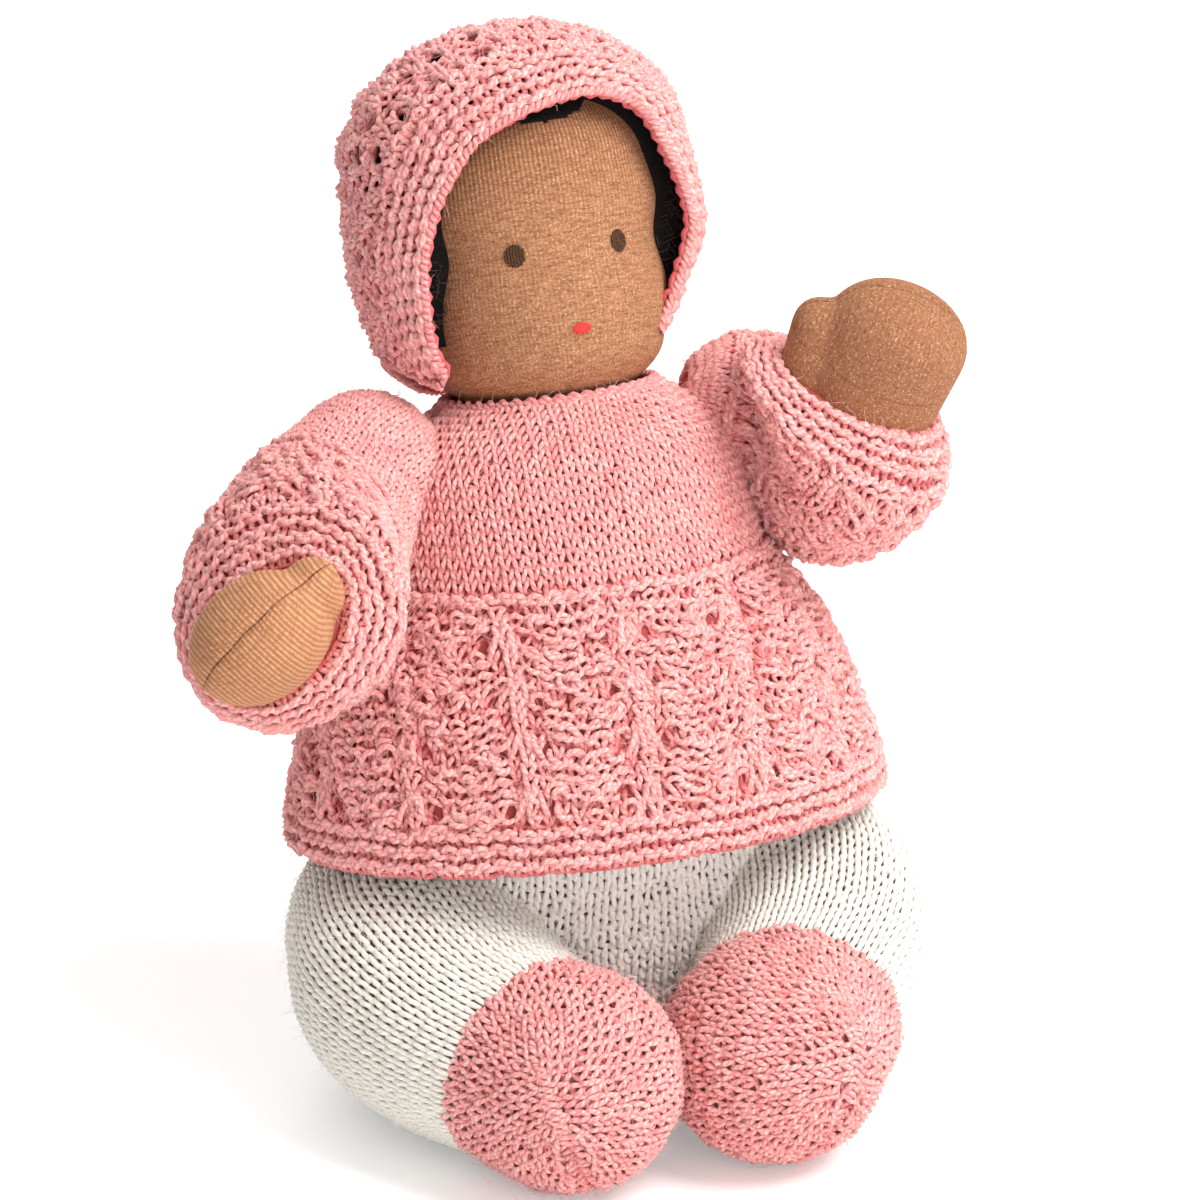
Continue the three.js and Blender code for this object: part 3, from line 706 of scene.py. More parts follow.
    def wrap(self, along: float, ring: tuple[Array, Array], spot: Array, lift: Array) -> tuple[Array, Array]:
        """Lays points of the flat fabric on the surface.

        Args:
            along: where their course lies.
            ring: the course's angles and lengths.
            spot: distances across from the middle and along.
            lift: how far they stand out.

        Returns:
            The points and the outward directions there.
        """
        angles, arc = ring
        total = arc[-1]
        reach = np.clip(spot[:, 0] + total / 2, 0, total)
        if abs(abs(angles[-1] - angles[0]) - 2 * math.pi) < 1e-6:
            reach = (spot[:, 0] + total / 2) % total
        angle = np.interp(reach, arc, angles)
        place = np.clip(spot[:, 1], 0.3, self.surface.length - 0.3)
        p = self.surface.points(place, angle)
        ahead = self.surface.points(np.minimum(place + 0.4, self.surface.length), angle)
        behind = self.surface.points(np.maximum(place - 0.4, 0), angle)
        beside = self.surface.points(place, angle + 0.02) - self.surface.points(place, angle - 0.02)
        out = unit(np.cross(beside, ahead - behind))
        middle = self.surface.points(np.full(2, along), np.array([0.0, math.pi]) + angles.mean()).mean(axis=0)
        if np.sum(out * (p - middle)) < 0:
            out = -out
        return p + out * lift[:, None], out

    def course(
        self, number: int, along: float, total: float, holes: Array, panel: int, whole: bool
    ) -> Optional[tuple[Array, Array]]:
        """The yarn of one course on the flat fabric.

        Args:
            number: the course's number.
            along: where it lies.
            total: how long it is.
            holes: the eyelets.
            panel: the panel's number.
            whole: whether it closes on itself.

        Returns:
            Its points and how far they stand out, or nothing where it is too short.
        """
        g = self.gauge
        count = self.columns if self.columns else 2 * int(total / (2 * g.width))
        if count < 3:
            return None
        seamless = bool(self.columns) or (whole and self.fabric is Fabric.CROWN)
        w = total / count if seamless else g.width
        column = np.arange(count) - count // 2
        front, lift = self.faces(number, column)
        tau = np.tile(np.arange(self.STEPS) / self.STEPS, count)
        stitch = np.repeat(np.arange(count), self.STEPS)
        noise = rng(self.seed * 31 + number * 7 + panel).normal(0, 1, (3, count)) * g.wobble
        x = (column[stitch] + tau + (0.5 if self.columns and count % 2 else 0)) * w
        x += g.lean * w / g.width * np.sin(4 * math.pi * tau) + noise[0][stitch]
        y = along - g.reach * np.cos(2 * math.pi * tau) + noise[1][stitch]
        swing = 2 if self.fabric is Fabric.GARTER else 4
        z = front[stitch] * -g.relief * np.cos(swing * math.pi * tau) + lift[stitch] + noise[2][stitch]
        if not seamless:
            edge = (count / 2 - 1) * w
            over = np.abs(x) > edge
            x[over] = np.sign(x[over]) * (edge + (np.abs(x[over]) - edge) * (total / 2 - edge) / w)
            near = np.clip((total / 2 - np.abs(x)) / 2.2, 0, 1)
            y, z = along + (y - along) * near, z * near - 0.5 * (1 - near)
        spot = np.column_stack([x, y])
        for hole in holes[np.abs(holes[:, 1] - along) < 8]:
            away = spot - hole
            far = np.linalg.norm(away, axis=1)
            near = far < 6
            push = self.OPENNESS[self.fabric] * np.exp(-(far[near] ** 2) / 5.5) / np.maximum(far[near], 0.4)
            spot[near] += away[near] * push[:, None]
            z[near] -= 0.6 * np.exp(-(far[near] ** 2) / 5)
        spot[:, 1] += self.sway(spot[:, 0], spot[:, 1])
        near = np.clip((total / 2 - np.abs(spot[:, 0])) / 14, 0, 1)[:, None]
        return spot + self.drift(spot) * near, z

    def lay(self) -> Laid:
        """Lays the yarn of every course."""
        rows = self.rows()
        laid = Laid()
        for panel, (first, last) in enumerate(self.panels):
            whole = abs(abs(last - first) - 2 * math.pi) < 1e-6
            rings = [self.surface.ring(r, first, last) for r in rows]
            half = max(r[1][-1] for r in rings) / 2
            holes = self.holes(rows, half)
            for k, (along, ring) in enumerate(zip(rows, rings)):
                made = self.course(k, along, ring[1][-1], holes, panel, whole)
                if made is not None:
                    self.keep(laid, along, ring, *made, whole)
            for along, spot, z in self.feathers(rows, half):
                ring = rings[int(np.argmin(np.abs(rows - along)))]
                if np.abs(spot[:, 0]).max() < ring[1][-1] / 2 - 1:
                    spot[:, 1] += self.sway(spot[:, 0], spot[:, 1])
                    self.keep(laid, along, ring, spot, z, False)
        return laid

    def keep(self, laid: Laid, along: float, ring: tuple[Array, Array], spot: Array, z: Array, whole: bool) -> None:
        """Wraps one thread and keeps the stretches of it that can be seen.

        Args:
            laid: the threads kept so far.
            along: where its course lies.
            ring: the course's angles and lengths.
            spot: its points on the flat fabric.
            z: how far they stand out.
            whole: whether it closes on itself.
        """
        p, out = self.wrap(along, ring, spot, z)
        p[:, 2] = np.maximum(p[:, 2], self.gauge.yarn)
        seen = np.ones(len(p), bool) if self.hidden is None else ~self.hidden(p)
        if seen.all():
            laid.add(p, whole, out, z)
            return
        edges = np.flatnonzero(np.diff(np.concatenate([[0], seen.astype(int), [0]])))
        for a, b in zip(edges[::2], edges[1::2]):
            if b - a >= 4:
                laid.add(p[a:b], False, out[a:b], z[a:b])


def fuzz(name: str, laid: Laid, count: int, seed: int, reach: float = 5.2, thick: float = 0.065) -> bpy.types.Object:
    """Stray fibres that stand out of the yarn.

    Args:
        name: the piece's name.
        laid: the yarn.
        count: how many fibres.
        seed: the seed of their places.
        reach: their mean length in mm.
        thick: their radius in mm.

    Returns:
        The new object.
    """
    p, n = np.vstack(laid.lines), np.vstack(laid.outs)
    r = rng(seed)
    pick = r.integers(0, len(p), count)
    root, out = p[pick], n[pick]
    drift = unit(np.cross(out, unit(r.normal(size=(count, 3)))))
    bend = unit(np.cross(out, unit(r.normal(size=(count, 3)))))
    length = reach * r.uniform(0.45, 1.6, count)[:, None]
    rise = r.uniform(0.1, 1.0, count)[:, None] ** 1.5
    hairs = np.stack(
        [
            root + out * 0.3,
            root + out * (0.6 + length * 0.5 * rise) + drift * length * 0.45 + bend * length * 0.05,
            root + out * (0.6 + length * 0.72 * rise) + drift * length * 0.72 + bend * length * 0.42,
        ],
        axis=1,
    )
    hairs[:, :, 2] = np.maximum(hairs[:, :, 2], 0.2 + 0.1 * np.arange(3))
    return strands(name, bare(list(hairs)), thick, 0, 0.5)


# ---------------------------------------------------------------- finishes


class Nodes:
    """A small hand for building a node tree."""

    def __init__(self, tree: bpy.types.NodeTree) -> None:
        """Takes the tree to build in."""
        self.tree = tree

    def add(self, kind: str, inputs: Optional[dict] = None, **settings: object) -> bpy.types.Node:
        """Adds a node.

        Args:
            kind: the node's type.
            inputs: values or sockets for its inputs, by name or number.
            settings: the node's own settings.

        Returns:
            The new node.
        """
        node = self.tree.nodes.new(kind)
        for key, value in settings.items():
            setattr(node, key, value)
        for key, value in (inputs or {}).items():
            if isinstance(value, bpy.types.NodeSocket):
                self.tree.links.new(value, node.inputs[key])
            else:
                node.inputs[key].default_value = value
        return node

    def math(self, operation: str, *values: object) -> bpy.types.NodeSocket:
        """The output of a Math node."""
        node = self.add("ShaderNodeMath", dict(enumerate(values)), operation=operation)
        return node.outputs[0]

    def mix(self, share: object, first: object, second: object) -> bpy.types.NodeSocket:
        """Two colours mixed by a share."""
        return self.add("ShaderNodeMix", {0: share, 6: first, 7: second}, data_type="RGBA").outputs[2]

    def range(self, value: object, low: float, high: float, to_low: float, to_high: float) -> bpy.types.NodeSocket:
        """A value mapped from one range to another."""
        return self.add("ShaderNodeMapRange", {0: value, 1: low, 2: high, 3: to_low, 4: to_high}).outputs[0]

    def noise(self, vector: object, scale: object, detail: float = 2.0, rough: float = 0.5) -> bpy.types.NodeSocket:
        """The value of a noise texture."""
        inputs = {"Vector": vector, "Scale": scale, "Detail": detail, "Roughness": rough}
        return self.add("ShaderNodeTexNoise", inputs).outputs[0]


def colour(red: float, green: float, blue: float) -> tuple[float, float, float, float]:
    """An sRGB colour of 0 to 255 as Blender's linear one."""
    parts = [c / 255 for c in (red, green, blue)]
    return (*[c / 12.92 if c <= 0.04045 else ((c + 0.055) / 1.055) ** 2.4 for c in parts], 1.0)


def group(name: str, inputs: Sequence[tuple[str, str]], outputs: Sequence[tuple[str, str]]) -> tuple:
    """Starts a shader node group.

    Args:
        name: the group's name.
        inputs: names and kinds of its inputs.
        outputs: names and kinds of its outputs.

    Returns:
        The tree, a hand for it, its input node and its output node.
    """
    tree = bpy.data.node_groups.new(name, "ShaderNodeTree")
    kinds = {"vector": "NodeSocketVector", "value": "NodeSocketFloat", "colour": "NodeSocketColor"}
    for label, kind in inputs:
        tree.interface.new_socket(label, in_out="INPUT", socket_type=kinds[kind])
    for label, kind in outputs:
        tree.interface.new_socket(label, in_out="OUTPUT", socket_type=kinds[kind])
    hand = Nodes(tree)
    return tree, hand, hand.add("NodeGroupInput"), hand.add("NodeGroupOutput")


def heather_group() -> bpy.types.NodeTree:
    """Fibres of two shades blended unevenly, as in heathered yarn.

    Returns:
        The group: colour and fibre height from a position and two shades.
    """
    tree, hand, given, out = group(
        "heather",
        [("Vector", "vector"), ("Light", "colour"), ("Dark", "colour"), ("Patch Scale", "value"),
         ("Fibre Scale", "value")],
        [("Color", "colour"), ("Height", "value")],
    )
    link = tree.links.new
    patch = hand.noise(given.outputs["Vector"], given.outputs["Patch Scale"], 3.0, 0.6)
    fibre = hand.noise(given.outputs["Vector"], given.outputs["Fibre Scale"], 2.0, 0.7)
    share = hand.math("ADD", hand.range(patch, 0.3, 0.7, 0.0, 0.55), hand.range(fibre, 0.3, 0.7, 0.0, 0.45))
    link(hand.mix(share, given.outputs["Dark"], given.outputs["Light"]), out.inputs["Color"])
    link(fibre, out.inputs["Height"])
    return tree


def ply_group() -> bpy.types.NodeTree:
    """The twist of a plied thread round its centre line.

    Returns:
        The group: height and streaks from a thread's own coordinates.
    """
    tree, hand, given, out = group(
        "ply_twist",
        [("Strand", "vector"), ("Plies", "value"), ("Pitch", "value")],
        [("Height", "value"), ("Streak", "value")],
    )
    link = tree.links.new
    parts = hand.add("ShaderNodeSeparateXYZ", {0: given.outputs["Strand"]})
    around = hand.math("ARCTAN2", parts.outputs[1], parts.outputs[0])
    along = hand.math("DIVIDE", parts.outputs[2], given.outputs["Pitch"])
    turns = hand.math("MULTIPLY_ADD", along, 2 * math.pi, around)
    wave = hand.math("SINE", hand.math("MULTIPLY", turns, given.outputs["Plies"]))
    link(hand.range(wave, -1, 1, 0, 1), out.inputs["Height"])
    stretch = hand.add("ShaderNodeCombineXYZ", {
        0: hand.math("MULTIPLY", hand.math("COSINE", turns), 2.2),
        1: hand.math("MULTIPLY", hand.math("SINE", turns), 2.2),
        2: hand.math("MULTIPLY", parts.outputs[2], 0.55),
    })
    link(hand.noise(stretch.outputs[0], 1.6, 3.0, 0.7), out.inputs["Streak"])
    return tree


def blank_material(name: str) -> tuple[bpy.types.Material, Nodes]:
    """A new material with an empty node tree, and a hand for it."""
    made = bpy.data.materials.new(name)
    made.use_nodes = True
    made.node_tree.nodes.clear()
    return made, Nodes(made.node_tree)


class SharedEffects:
    """The node groups that several finishes use, each built once."""

    def __init__(self) -> None:
        """Builds the groups."""
        self.heather = heather_group()
        self.ply = ply_group()

    def heathered(
        self, hand: Nodes, where: object, light: tuple, dark: tuple, patch: float, fibre: float
    ) -> bpy.types.Node:
        """Two shades of fibre blended in a material.

        Args:
            hand: the material's hand.
            where: the position that the pattern reads.
            light: the paler shade.
            dark: the deeper shade.
            patch: how fine the patches are.
            fibre: how fine the fibres are.

        Returns:
            The node, with its colour and height.
        """
        inputs = {"Vector": where, "Light": light, "Dark": dark, "Patch Scale": patch, "Fibre Scale": fibre}
        return hand.add("ShaderNodeGroup", inputs, node_tree=self.heather)


@dataclass(frozen=True)
class Yarn:
    """Plied wool yarn with painted light: paler on the crowns of its stitches, deeper between them in the painted shade
    of its deep colour.
    """

    name: str
    light: tuple
    dark: tuple
    # streak: the pale streaks along the fibres, partly the yarn's own marl and partly painted fibre highlights; also
    # the sheen's tint.
    streak: tuple
    # deep: the colour of the painted shade where the yarn lies low between its neighbours.
    deep: tuple
    plies: float = 2.0
    pitch: float = 3.6
    patch: float = 190.0
    fibre: float = 1500.0
    sheen: float = 0.2
    bump: float = 0.4
    # low and high: the span of the rise over which the painted shade gives way to the lit colours.
    low: float = -1.2
    high: float = 1.2
    glow: float = 0.0

    def material(self, shared: SharedEffects) -> bpy.types.Material:
        """The yarn as a material that reads its thread's coordinates."""
        made, hand = blank_material(self.name)
        where = hand.add("ShaderNodeTexCoord").outputs["Object"]
        strand = hand.add("ShaderNodeAttribute", attribute_name="strand").outputs["Vector"]
        rise = hand.add("ShaderNodeAttribute", attribute_name="rise").outputs["Fac"]
        mottled = shared.heathered(hand, where, self.light, self.dark, self.patch, self.fibre)
        twist = hand.add(
            "ShaderNodeGroup", {"Strand": strand, "Plies": self.plies, "Pitch": self.pitch}, node_tree=shared.ply
        )
        # Painted shade in the grooves between the plies: darker there, towards the dark colour.
        groove = hand.range(twist.outputs["Height"], 0.1, 0.75, 0.85, 0.0)
        base = hand.mix(groove, mottled.outputs["Color"], self.dark)
        # Pale streaks along the fibres: partly the yarn's own marl, partly painted fibre highlights.
        streak = hand.range(twist.outputs["Streak"], 0.5, 0.7, 0.0, 0.6)
        base = hand.mix(streak, base, self.streak)
        # Painted shade: a ragged blend towards the deep colour where the yarn lies low, and none on the crowns of the
        # stitches.
        ragged = hand.math("MULTIPLY_ADD", hand.math("SUBTRACT", twist.outputs["Streak"], 0.5), 1.6, rise)
        base = hand.mix(hand.range(ragged, self.low, self.high, 1.0, 0.0), base, self.deep)
        height = hand.math("ADD", twist.outputs["Height"], hand.math("MULTIPLY", twist.outputs["Streak"], 1.1))
        normal = hand.add("ShaderNodeBump", {"Strength": self.bump, "Distance": 0.0004, "Height": height}).outputs[0]
        shader = hand.add("ShaderNodeBsdfPrincipled", {
            "Base Color": base, "Roughness": 0.92, "Normal": normal, "Sheen Weight": self.sheen,
            "Sheen Roughness": 0.6, "Specular IOR Level": 0.25, "Subsurface Weight": self.glow,
            "Subsurface Radius": (1.0, 0.42, 0.36), "Subsurface Scale": 0.0012, "Sheen Tint": self.streak,
        })
        hand.add("ShaderNodeOutputMaterial", {0: shader.outputs[0]})
        return made


@dataclass(frozen=True)
class Cloth:
    """Heathered cloth seen close, such as jersey or the sheet of painted shade under the yarn."""

    name: str
    light: tuple
    dark: tuple
    patch: float = 140.0
    fibre: float = 1800.0
    bump: float = 0.3
    ribs: float = 0.0
    streaks: float = 0.0
    sheen: float = 0.2

    def material(self, shared: SharedEffects) -> bpy.types.Material:
        """The cloth as a material on object coordinates."""
        made, hand = blank_material(self.name)
        where = hand.add("ShaderNodeTexCoord").outputs["Object"]
        mottled = shared.heathered(hand, where, self.light, self.dark, self.patch, self.fibre)
        base = mottled.outputs["Color"]
        height = mottled.outputs["Height"]
        if self.ribs:
            grain = hand.add("ShaderNodeAttribute", attribute_name="grain").outputs["Vector"]
            across = hand.add("ShaderNodeSeparateXYZ", {0: grain})
            wobble = hand.math("MULTIPLY", hand.noise(where, 260.0, 1.0), 0.35)
            phase = hand.math("MULTIPLY", hand.math("ADD", across.outputs[0], wobble), 2 * math.pi)
            rib = hand.range(hand.math("SINE", phase), -1, 1, 0, 1)
            strength = hand.math("MULTIPLY", across.outputs[2], self.ribs)
            drawn = hand.add("ShaderNodeCombineXYZ", {
                0: hand.math("MULTIPLY", across.outputs[0], 0.2), 1: across.outputs[1],
            })
            short = hand.add("ShaderNodeCombineXYZ", {
                0: across.outputs[0], 1: hand.math("MULTIPLY", across.outputs[1], 2.4), 2: 7.0,
            })
            marl = hand.range(hand.noise(drawn.outputs[0], 1.0, 4.0, 0.8), 0.43, 0.57, 0.0, 0.5)
            fleck = hand.range(hand.noise(short.outputs[0], 1.0, 3.0, 0.75), 0.43, 0.57, 0.0, 0.5)
            both = hand.mix(hand.math("ADD", marl, fleck), self.dark, self.light)
            base = hand.mix(self.streaks, base, both)
            speck = hand.range(hand.noise(where, 1700.0, 2.0, 0.6), 0.56, 0.66, 0.0, 0.5)
            base = hand.mix(speck, base, colour(232, 192, 158))
            # Painted shade between the ribs, deeper where the ribs are strong.
            shade = hand.math("MULTIPLY", hand.math("SUBTRACT", 1.0, rib), strength)
            base = hand.mix(hand.math("MULTIPLY", shade, 0.8), base, self.dark)
            # Painted shade: a broken dark line in the groove along the hand's seam, read from the crease mark.
            crease = hand.add("ShaderNodeAttribute", attribute_name="crease").outputs["Fac"]
            gap = hand.math("ABSOLUTE", hand.math("SUBTRACT", crease, SEAM_MARK))
            line = hand.range(gap, 0.1, 0.34, 1.0, 0.0)
            broken = hand.range(hand.noise(where, 420.0, 1.0), 0.36, 0.56, 0.35, 0.95)
            seam = hand.math("MULTIPLY", line, broken)
            base = hand.mix(seam, base, colour(84, 48, 30))
            height = hand.math("MULTIPLY_ADD", hand.math("MULTIPLY", rib, strength), 1.6, height)
        normal = hand.add("ShaderNodeBump", {"Strength": self.bump, "Distance": 0.0004, "Height": height}).outputs[0]
        shader = hand.add("ShaderNodeBsdfPrincipled", {
            "Base Color": base, "Roughness": 0.93, "Normal": normal, "Sheen Weight": self.sheen,
            "Sheen Roughness": 0.6, "Specular IOR Level": 0.2, "Sheen Tint": self.light,
        })
        hand.add("ShaderNodeOutputMaterial", {0: shader.outputs[0]})
        return made


# The fourth colour of each yarn, its deep colour, is painted shade.
PINK_YARN = Yarn(
    "pink_wool_yarn", colour(255, 208, 202), colour(230, 128, 126), colour(255, 238, 233), colour(204, 80, 84),
    glow=0.3,
)
CREAM_YARN = Yarn(
    "cream_wool_yarn", colour(248, 245, 238), colour(232, 226, 214), colour(255, 254, 250), colour(222, 204, 190),
    low=-1.5, high=0.2,
)
# A lighter copy of the cream yarn for the seat, with a paler deep colour: painted light where the seat lies in the
# shadow of the sweater's hem.
SEAT_LIT_YARN = Yarn(
    "cream_wool_seat_lit_copy", colour(255, 253, 248), colour(246, 240, 232), colour(255, 255, 253), colour(240, 228, 220),
    sheen=0.4,
)
# Its brown streak colour is painted highlight on the black curls.
BLACK_YARN = Yarn(
    "black_mohair_yarn", colour(58, 46, 42), colour(14, 11, 11), colour(126, 104, 92), colour(8, 7, 7), sheen=0.3
)
# A lighter brown copy of the black mohair for the stray curls: painted highlight.
LIT_STRAY_YARN = Yarn(
    "stray_mohair_lit_copy", colour(104, 80, 68), colour(62, 46, 40), colour(150, 122, 106), colour(50, 38, 34), sheen=0.3
)
BROWN_FLOSS = Yarn(
    "brown_floss", colour(98, 62, 40), colour(50, 30, 20), colour(146, 104, 76), colour(40, 24, 16), pitch=2.2, bump=0.2
)
RED_FLOSS = Yarn(
    "red_floss", colour(240, 74, 66), colour(200, 40, 40), colour(252, 122, 112), colour(150, 24, 28), pitch=2.2,
    bump=0.2,
)
# A dark rose sheet of painted shade: the shade inside the knitting, seen through the gaps between stitches.
PINK_PAINTED_SHADE = Cloth("pink_wool_painted_shade", colour(196, 98, 94), colour(140, 62, 60), patch=220.0)
PINK_FIBRE = Cloth("pink_wool_fibre", colour(252, 206, 200), colour(240, 170, 164), sheen=0.5)
CREAM_FIBRE = Cloth("cream_wool_fibre", colour(252, 250, 246), colour(238, 232, 222), sheen=0.5)
BLACK_GROUND = Cloth("black_mohair_ground", colour(30, 24, 23), colour(5, 4, 4), patch=600.0, bump=1.0)
# One brown jersey in three tones that are painted light and shade: the lit copy on the right hand is lightest, JERSEY
# on the head and neck darker, the shaded copy on the left hand darkest.
JERSEY = Cloth(
    "brown_jersey", colour(196, 141, 103), colour(112, 68, 42), patch=700.0, fibre=2600.0, ribs=1.0, streaks=0.8
)
SHADED_JERSEY = Cloth(
    "shaded_jersey_copy", colour(182, 126, 92), colour(112, 68, 42), patch=900.0, fibre=2200.0, ribs=1.0, streaks=0.12
)
LIT_JERSEY = Cloth(
    "lit_jersey_copy", colour(232, 174, 132), colour(146, 92, 60), patch=700.0, fibre=2600.0, ribs=1.0, streaks=0.6
)
LEG_JERSEY = Cloth("leg_jersey", colour(200, 164, 138), colour(154, 120, 98), patch=420.0)


@dataclass(frozen=True)
class Wool:
    """A knitting wool: the record's slot for it, its yarn and its stray fibres."""

    slot: str
    yarn: Yarn
    fibre: Cloth


PINK_WOOL = Wool("pink_wool", PINK_YARN, PINK_FIBRE)
CREAM_WOOL = Wool("cream_wool", CREAM_YARN, CREAM_FIBRE)
SEAT_LIT_WOOL = Wool("cream_wool", SEAT_LIT_YARN, CREAM_FIBRE)


# ---------------------------------------------------------------- the doll


@dataclass
class Dressing:
    """Materials by finish."""

    shared: SharedEffects
    made: dict = field(default_factory=dict)

    def dress(self, obj: bpy.types.Object, finish: object, slot: str, body: str, *replaced: str) -> bpy.types.Object:
        """Gives a piece its finish and body, and hides the CAD nodes that it stands for.

        Args:
            obj: the piece.
            finish: its Yarn or Cloth.
            slot: not used.
            body: the body that it rides on.
            replaced: the CAD nodes that it stands for.

        Returns:
            The piece.
        """
        if finish.name not in self.made:
            self.made[finish.name] = finish.material(self.shared)
        obj.data.materials.clear()
        obj.data.materials.append(self.made[finish.name])
        if body:
            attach(obj, body)
        if replaced:
            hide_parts(*replaced)
        log.info("%s: %d faces on %s", obj.name, len(obj.data.polygons), body)
        return obj

    def knitted(
        self, names: tuple[str, str], laid: Laid, gauge: Gauge, wool: Wool, body: str, nodes: Sequence[str],
        points_each: int, seed: int, level: int = 1, reach: float = 5.2,
    ) -> None:
        """Makes a knitted piece and its halo of stray fibres.

        Args:
            names: the name of the piece and that of its fibres.
            laid: the yarn as it lies.
            gauge: the size of its stitches.
            wool: what it is knitted in.
            body: the body that it rides on.
            nodes: the CAD nodes that it stands for.
            points_each: how many points of the yarn there are to each fibre.
            seed: the seed of the fibres' places.
            level: the yarn's roundness.
            reach: the fibres' mean length in mm.
        """
        self.dress(strands(names[0], laid, gauge.yarn, level), wool.yarn, wool.slot, body, *nodes)
        hairs = fuzz(names[1], laid, laid.size() // points_each, seed, reach)
        self.dress(hairs, wool.fibre, wool.slot, body)


ROUND = (0.0, 2 * math.pi)
UNDER = (math.pi, 3 * math.pi)
FRONT_HALF = (math.pi / 2, 3 * math.pi / 2)
BACK_HALF = (-math.pi / 2, math.pi / 2)
RIB = 1.3
SEAM_MARK = 10.0
SHADE_SHELL_INSET = 2.3
KNIT_INSET = 1.2


@dataclass
class Sweater:
    """The sweater: garter hem, lace skirt, ridge, plain yoke and neckband."""

    dressing: Dressing
    lean: Lean = Lean(-1, 73, 12.7)
    length: float = 116
    half_width: float = 83
    half_depth: float = 68
    hem: float = 13
    ridge: float = 71
    yoke_bend: float = 84
    neckline_back: float = 4
    shares: tuple = (
        (0, 1, 1), (0.06, 0.99, 0.99), (0.13, 0.972, 0.962), (0.28, 0.912, 0.902), (0.43, 0.825, 0.82),
        (0.61, 0.675, 0.691), (0.74, 0.632, 0.618), (0.862, 0.595, 0.56), (0.94, 0.49, 0.5), (1, 0.373, 0.44),
    )
    shoulders: tuple = ((-55.0, 22.0, 174.0), (55.0, 22.0, 174.0))
    shoulder_hides: float = 16
    cover_margin: float = 12
    ridge_half: float = 2.0

    def outline(self) -> Outline:
        """The sweater's outline, without its neckband."""
        points = [(0, 0, 0), (0, 0, self.yoke_bend / 2), (0, 0, self.yoke_bend), (0, self.neckline_back, self.length)]
        sizes = [(s, w * self.half_width, d * self.half_depth) for s, w, d in self.shares]
        return Outline(Spine(points), SIDEWAYS, sizes, lean=self.lean)

    def buried(self, points: Array) -> Array:
        """Which points lie inside the balls of the sleeves."""
        gaps = [np.linalg.norm(points - np.array(s), axis=1) for s in self.shoulders]
        return np.min(gaps, axis=0) < self.shoulder_hides

    def covers(self, points: Array) -> Array:
        """Which points lie well inside the sweater, above its hem."""
        local = self.lean.local(points)
        share = np.clip(local[:, 2] / self.length, 0, 1)
        wide = smooth_table(self.shares, share, 1) * self.half_width - self.cover_margin
        deep = smooth_table(self.shares, share, 2) * self.half_depth - self.cover_margin
        return (local[:, 2] > self.hem + 3) & ((local[:, 0] / wide) ** 2 + (local[:, 1] / deep) ** 2 < 1)

    def build(self) -> Bulk:
        """Makes the sweater.

        Returns:
            The space that it fills.
        """
        outline = self.outline()
        # A closed shell under the knit, in the dark rose of painted shade that shows through the gaps between stitches.
        ground = OutlineSurface(outline, SHADE_SHELL_INSET).mesh("sweater_shade_shell", sides=96, rings=72)
        bulk = Bulk(ground)
        self.open_bottom(ground)
        self.dressing.dress(ground, PINK_PAINTED_SHADE, "pink_wool", "torso")
        surface = OutlineSurface(outline, KNIT_INSET)
        hem, ridge = surface.along_at(self.hem / self.length), surface.along_at(self.ridge / self.length)
        zones = [
            ("sweater_hem", 0.8, hem, GARTER_GAUGE, Fabric.GARTER),
            ("sweater_skirt", hem, ridge - self.ridge_half, LACE_GAUGE, Fabric.LACE),
            ("sweater_ridge", ridge - self.ridge_half, ridge + self.ridge_half, GARTER_GAUGE, Fabric.GARTER),
            ("sweater_yoke", ridge + self.ridge_half, surface.length, PLAIN_GAUGE, Fabric.STOCKINETTE),
        ]
        nodes = {"sweater_hem": ["sweater_hem"], "sweater_skirt": ["sweater_skirt"], "sweater_yoke": ["sweater_yoke"]}
        for seed, (name, start, end, gauge, fabric) in enumerate(zones, 1):
            for half, panel in (("front", FRONT_HALF), ("back", BACK_HALF)):
                knit = Knit(surface, start, end, gauge, fabric, [panel], seed=seed * 10, hidden=self.buried)
                names = (f"{name}_{half}", f"{name}_{half}_fuzz")
                stands_for, points_each, level = (nodes.get(name, []), 5, 1) if half == "front" else ([], 10, 0)
                self.dressing.knitted(
                    names, knit.lay(), gauge, PINK_WOOL, "torso", stands_for, points_each, seed * 5, level
                )
        self.make_neckband(surface)
        return bulk

    def open_bottom(self, ground: bpy.types.Object) -> None:
        """Opens the bottom of the shell of painted shade."""
        bm = bmesh.new()
        bm.from_mesh(ground.data)
        pole = max((v for v in bm.verts if v.co.z < 0.1), key=lambda v: len(v.link_edges))
        bmesh.ops.delete(bm, geom=[pole], context="VERTS")
        bm.to_mesh(ground.data)
        bm.free()

    def make_neckband(self, surface: OutlineSurface) -> None:
        """Lays the rolled neckband."""
        angles = np.linspace(0, 2 * math.pi, 240, endpoint=False)
        rim = surface.points(np.full(240, surface.length), angles)
        axis = surface.table[-1, 9:12]
        centre = rim.mean(axis=0)
        lines = []
        for turn in range(3):
            phase = np.linspace(0, 2 * math.pi * 46, 240, endpoint=False) + turn * 2.1
            out = unit(rim - centre)
            lines.append(rim + out * (0.1 - 0.5 * turn + 0.8 * np.cos(phase))[:, None]
                         + axis * (turn * 0.8 - 0.4 + 0.6 * np.sin(phase))[:, None])
        band = strands("sweater_neckband_knit", bare(lines, True), 0.85)
        self.dressing.dress(band, PINK_YARN, "pink_wool", "torso", "sweater_neckband")


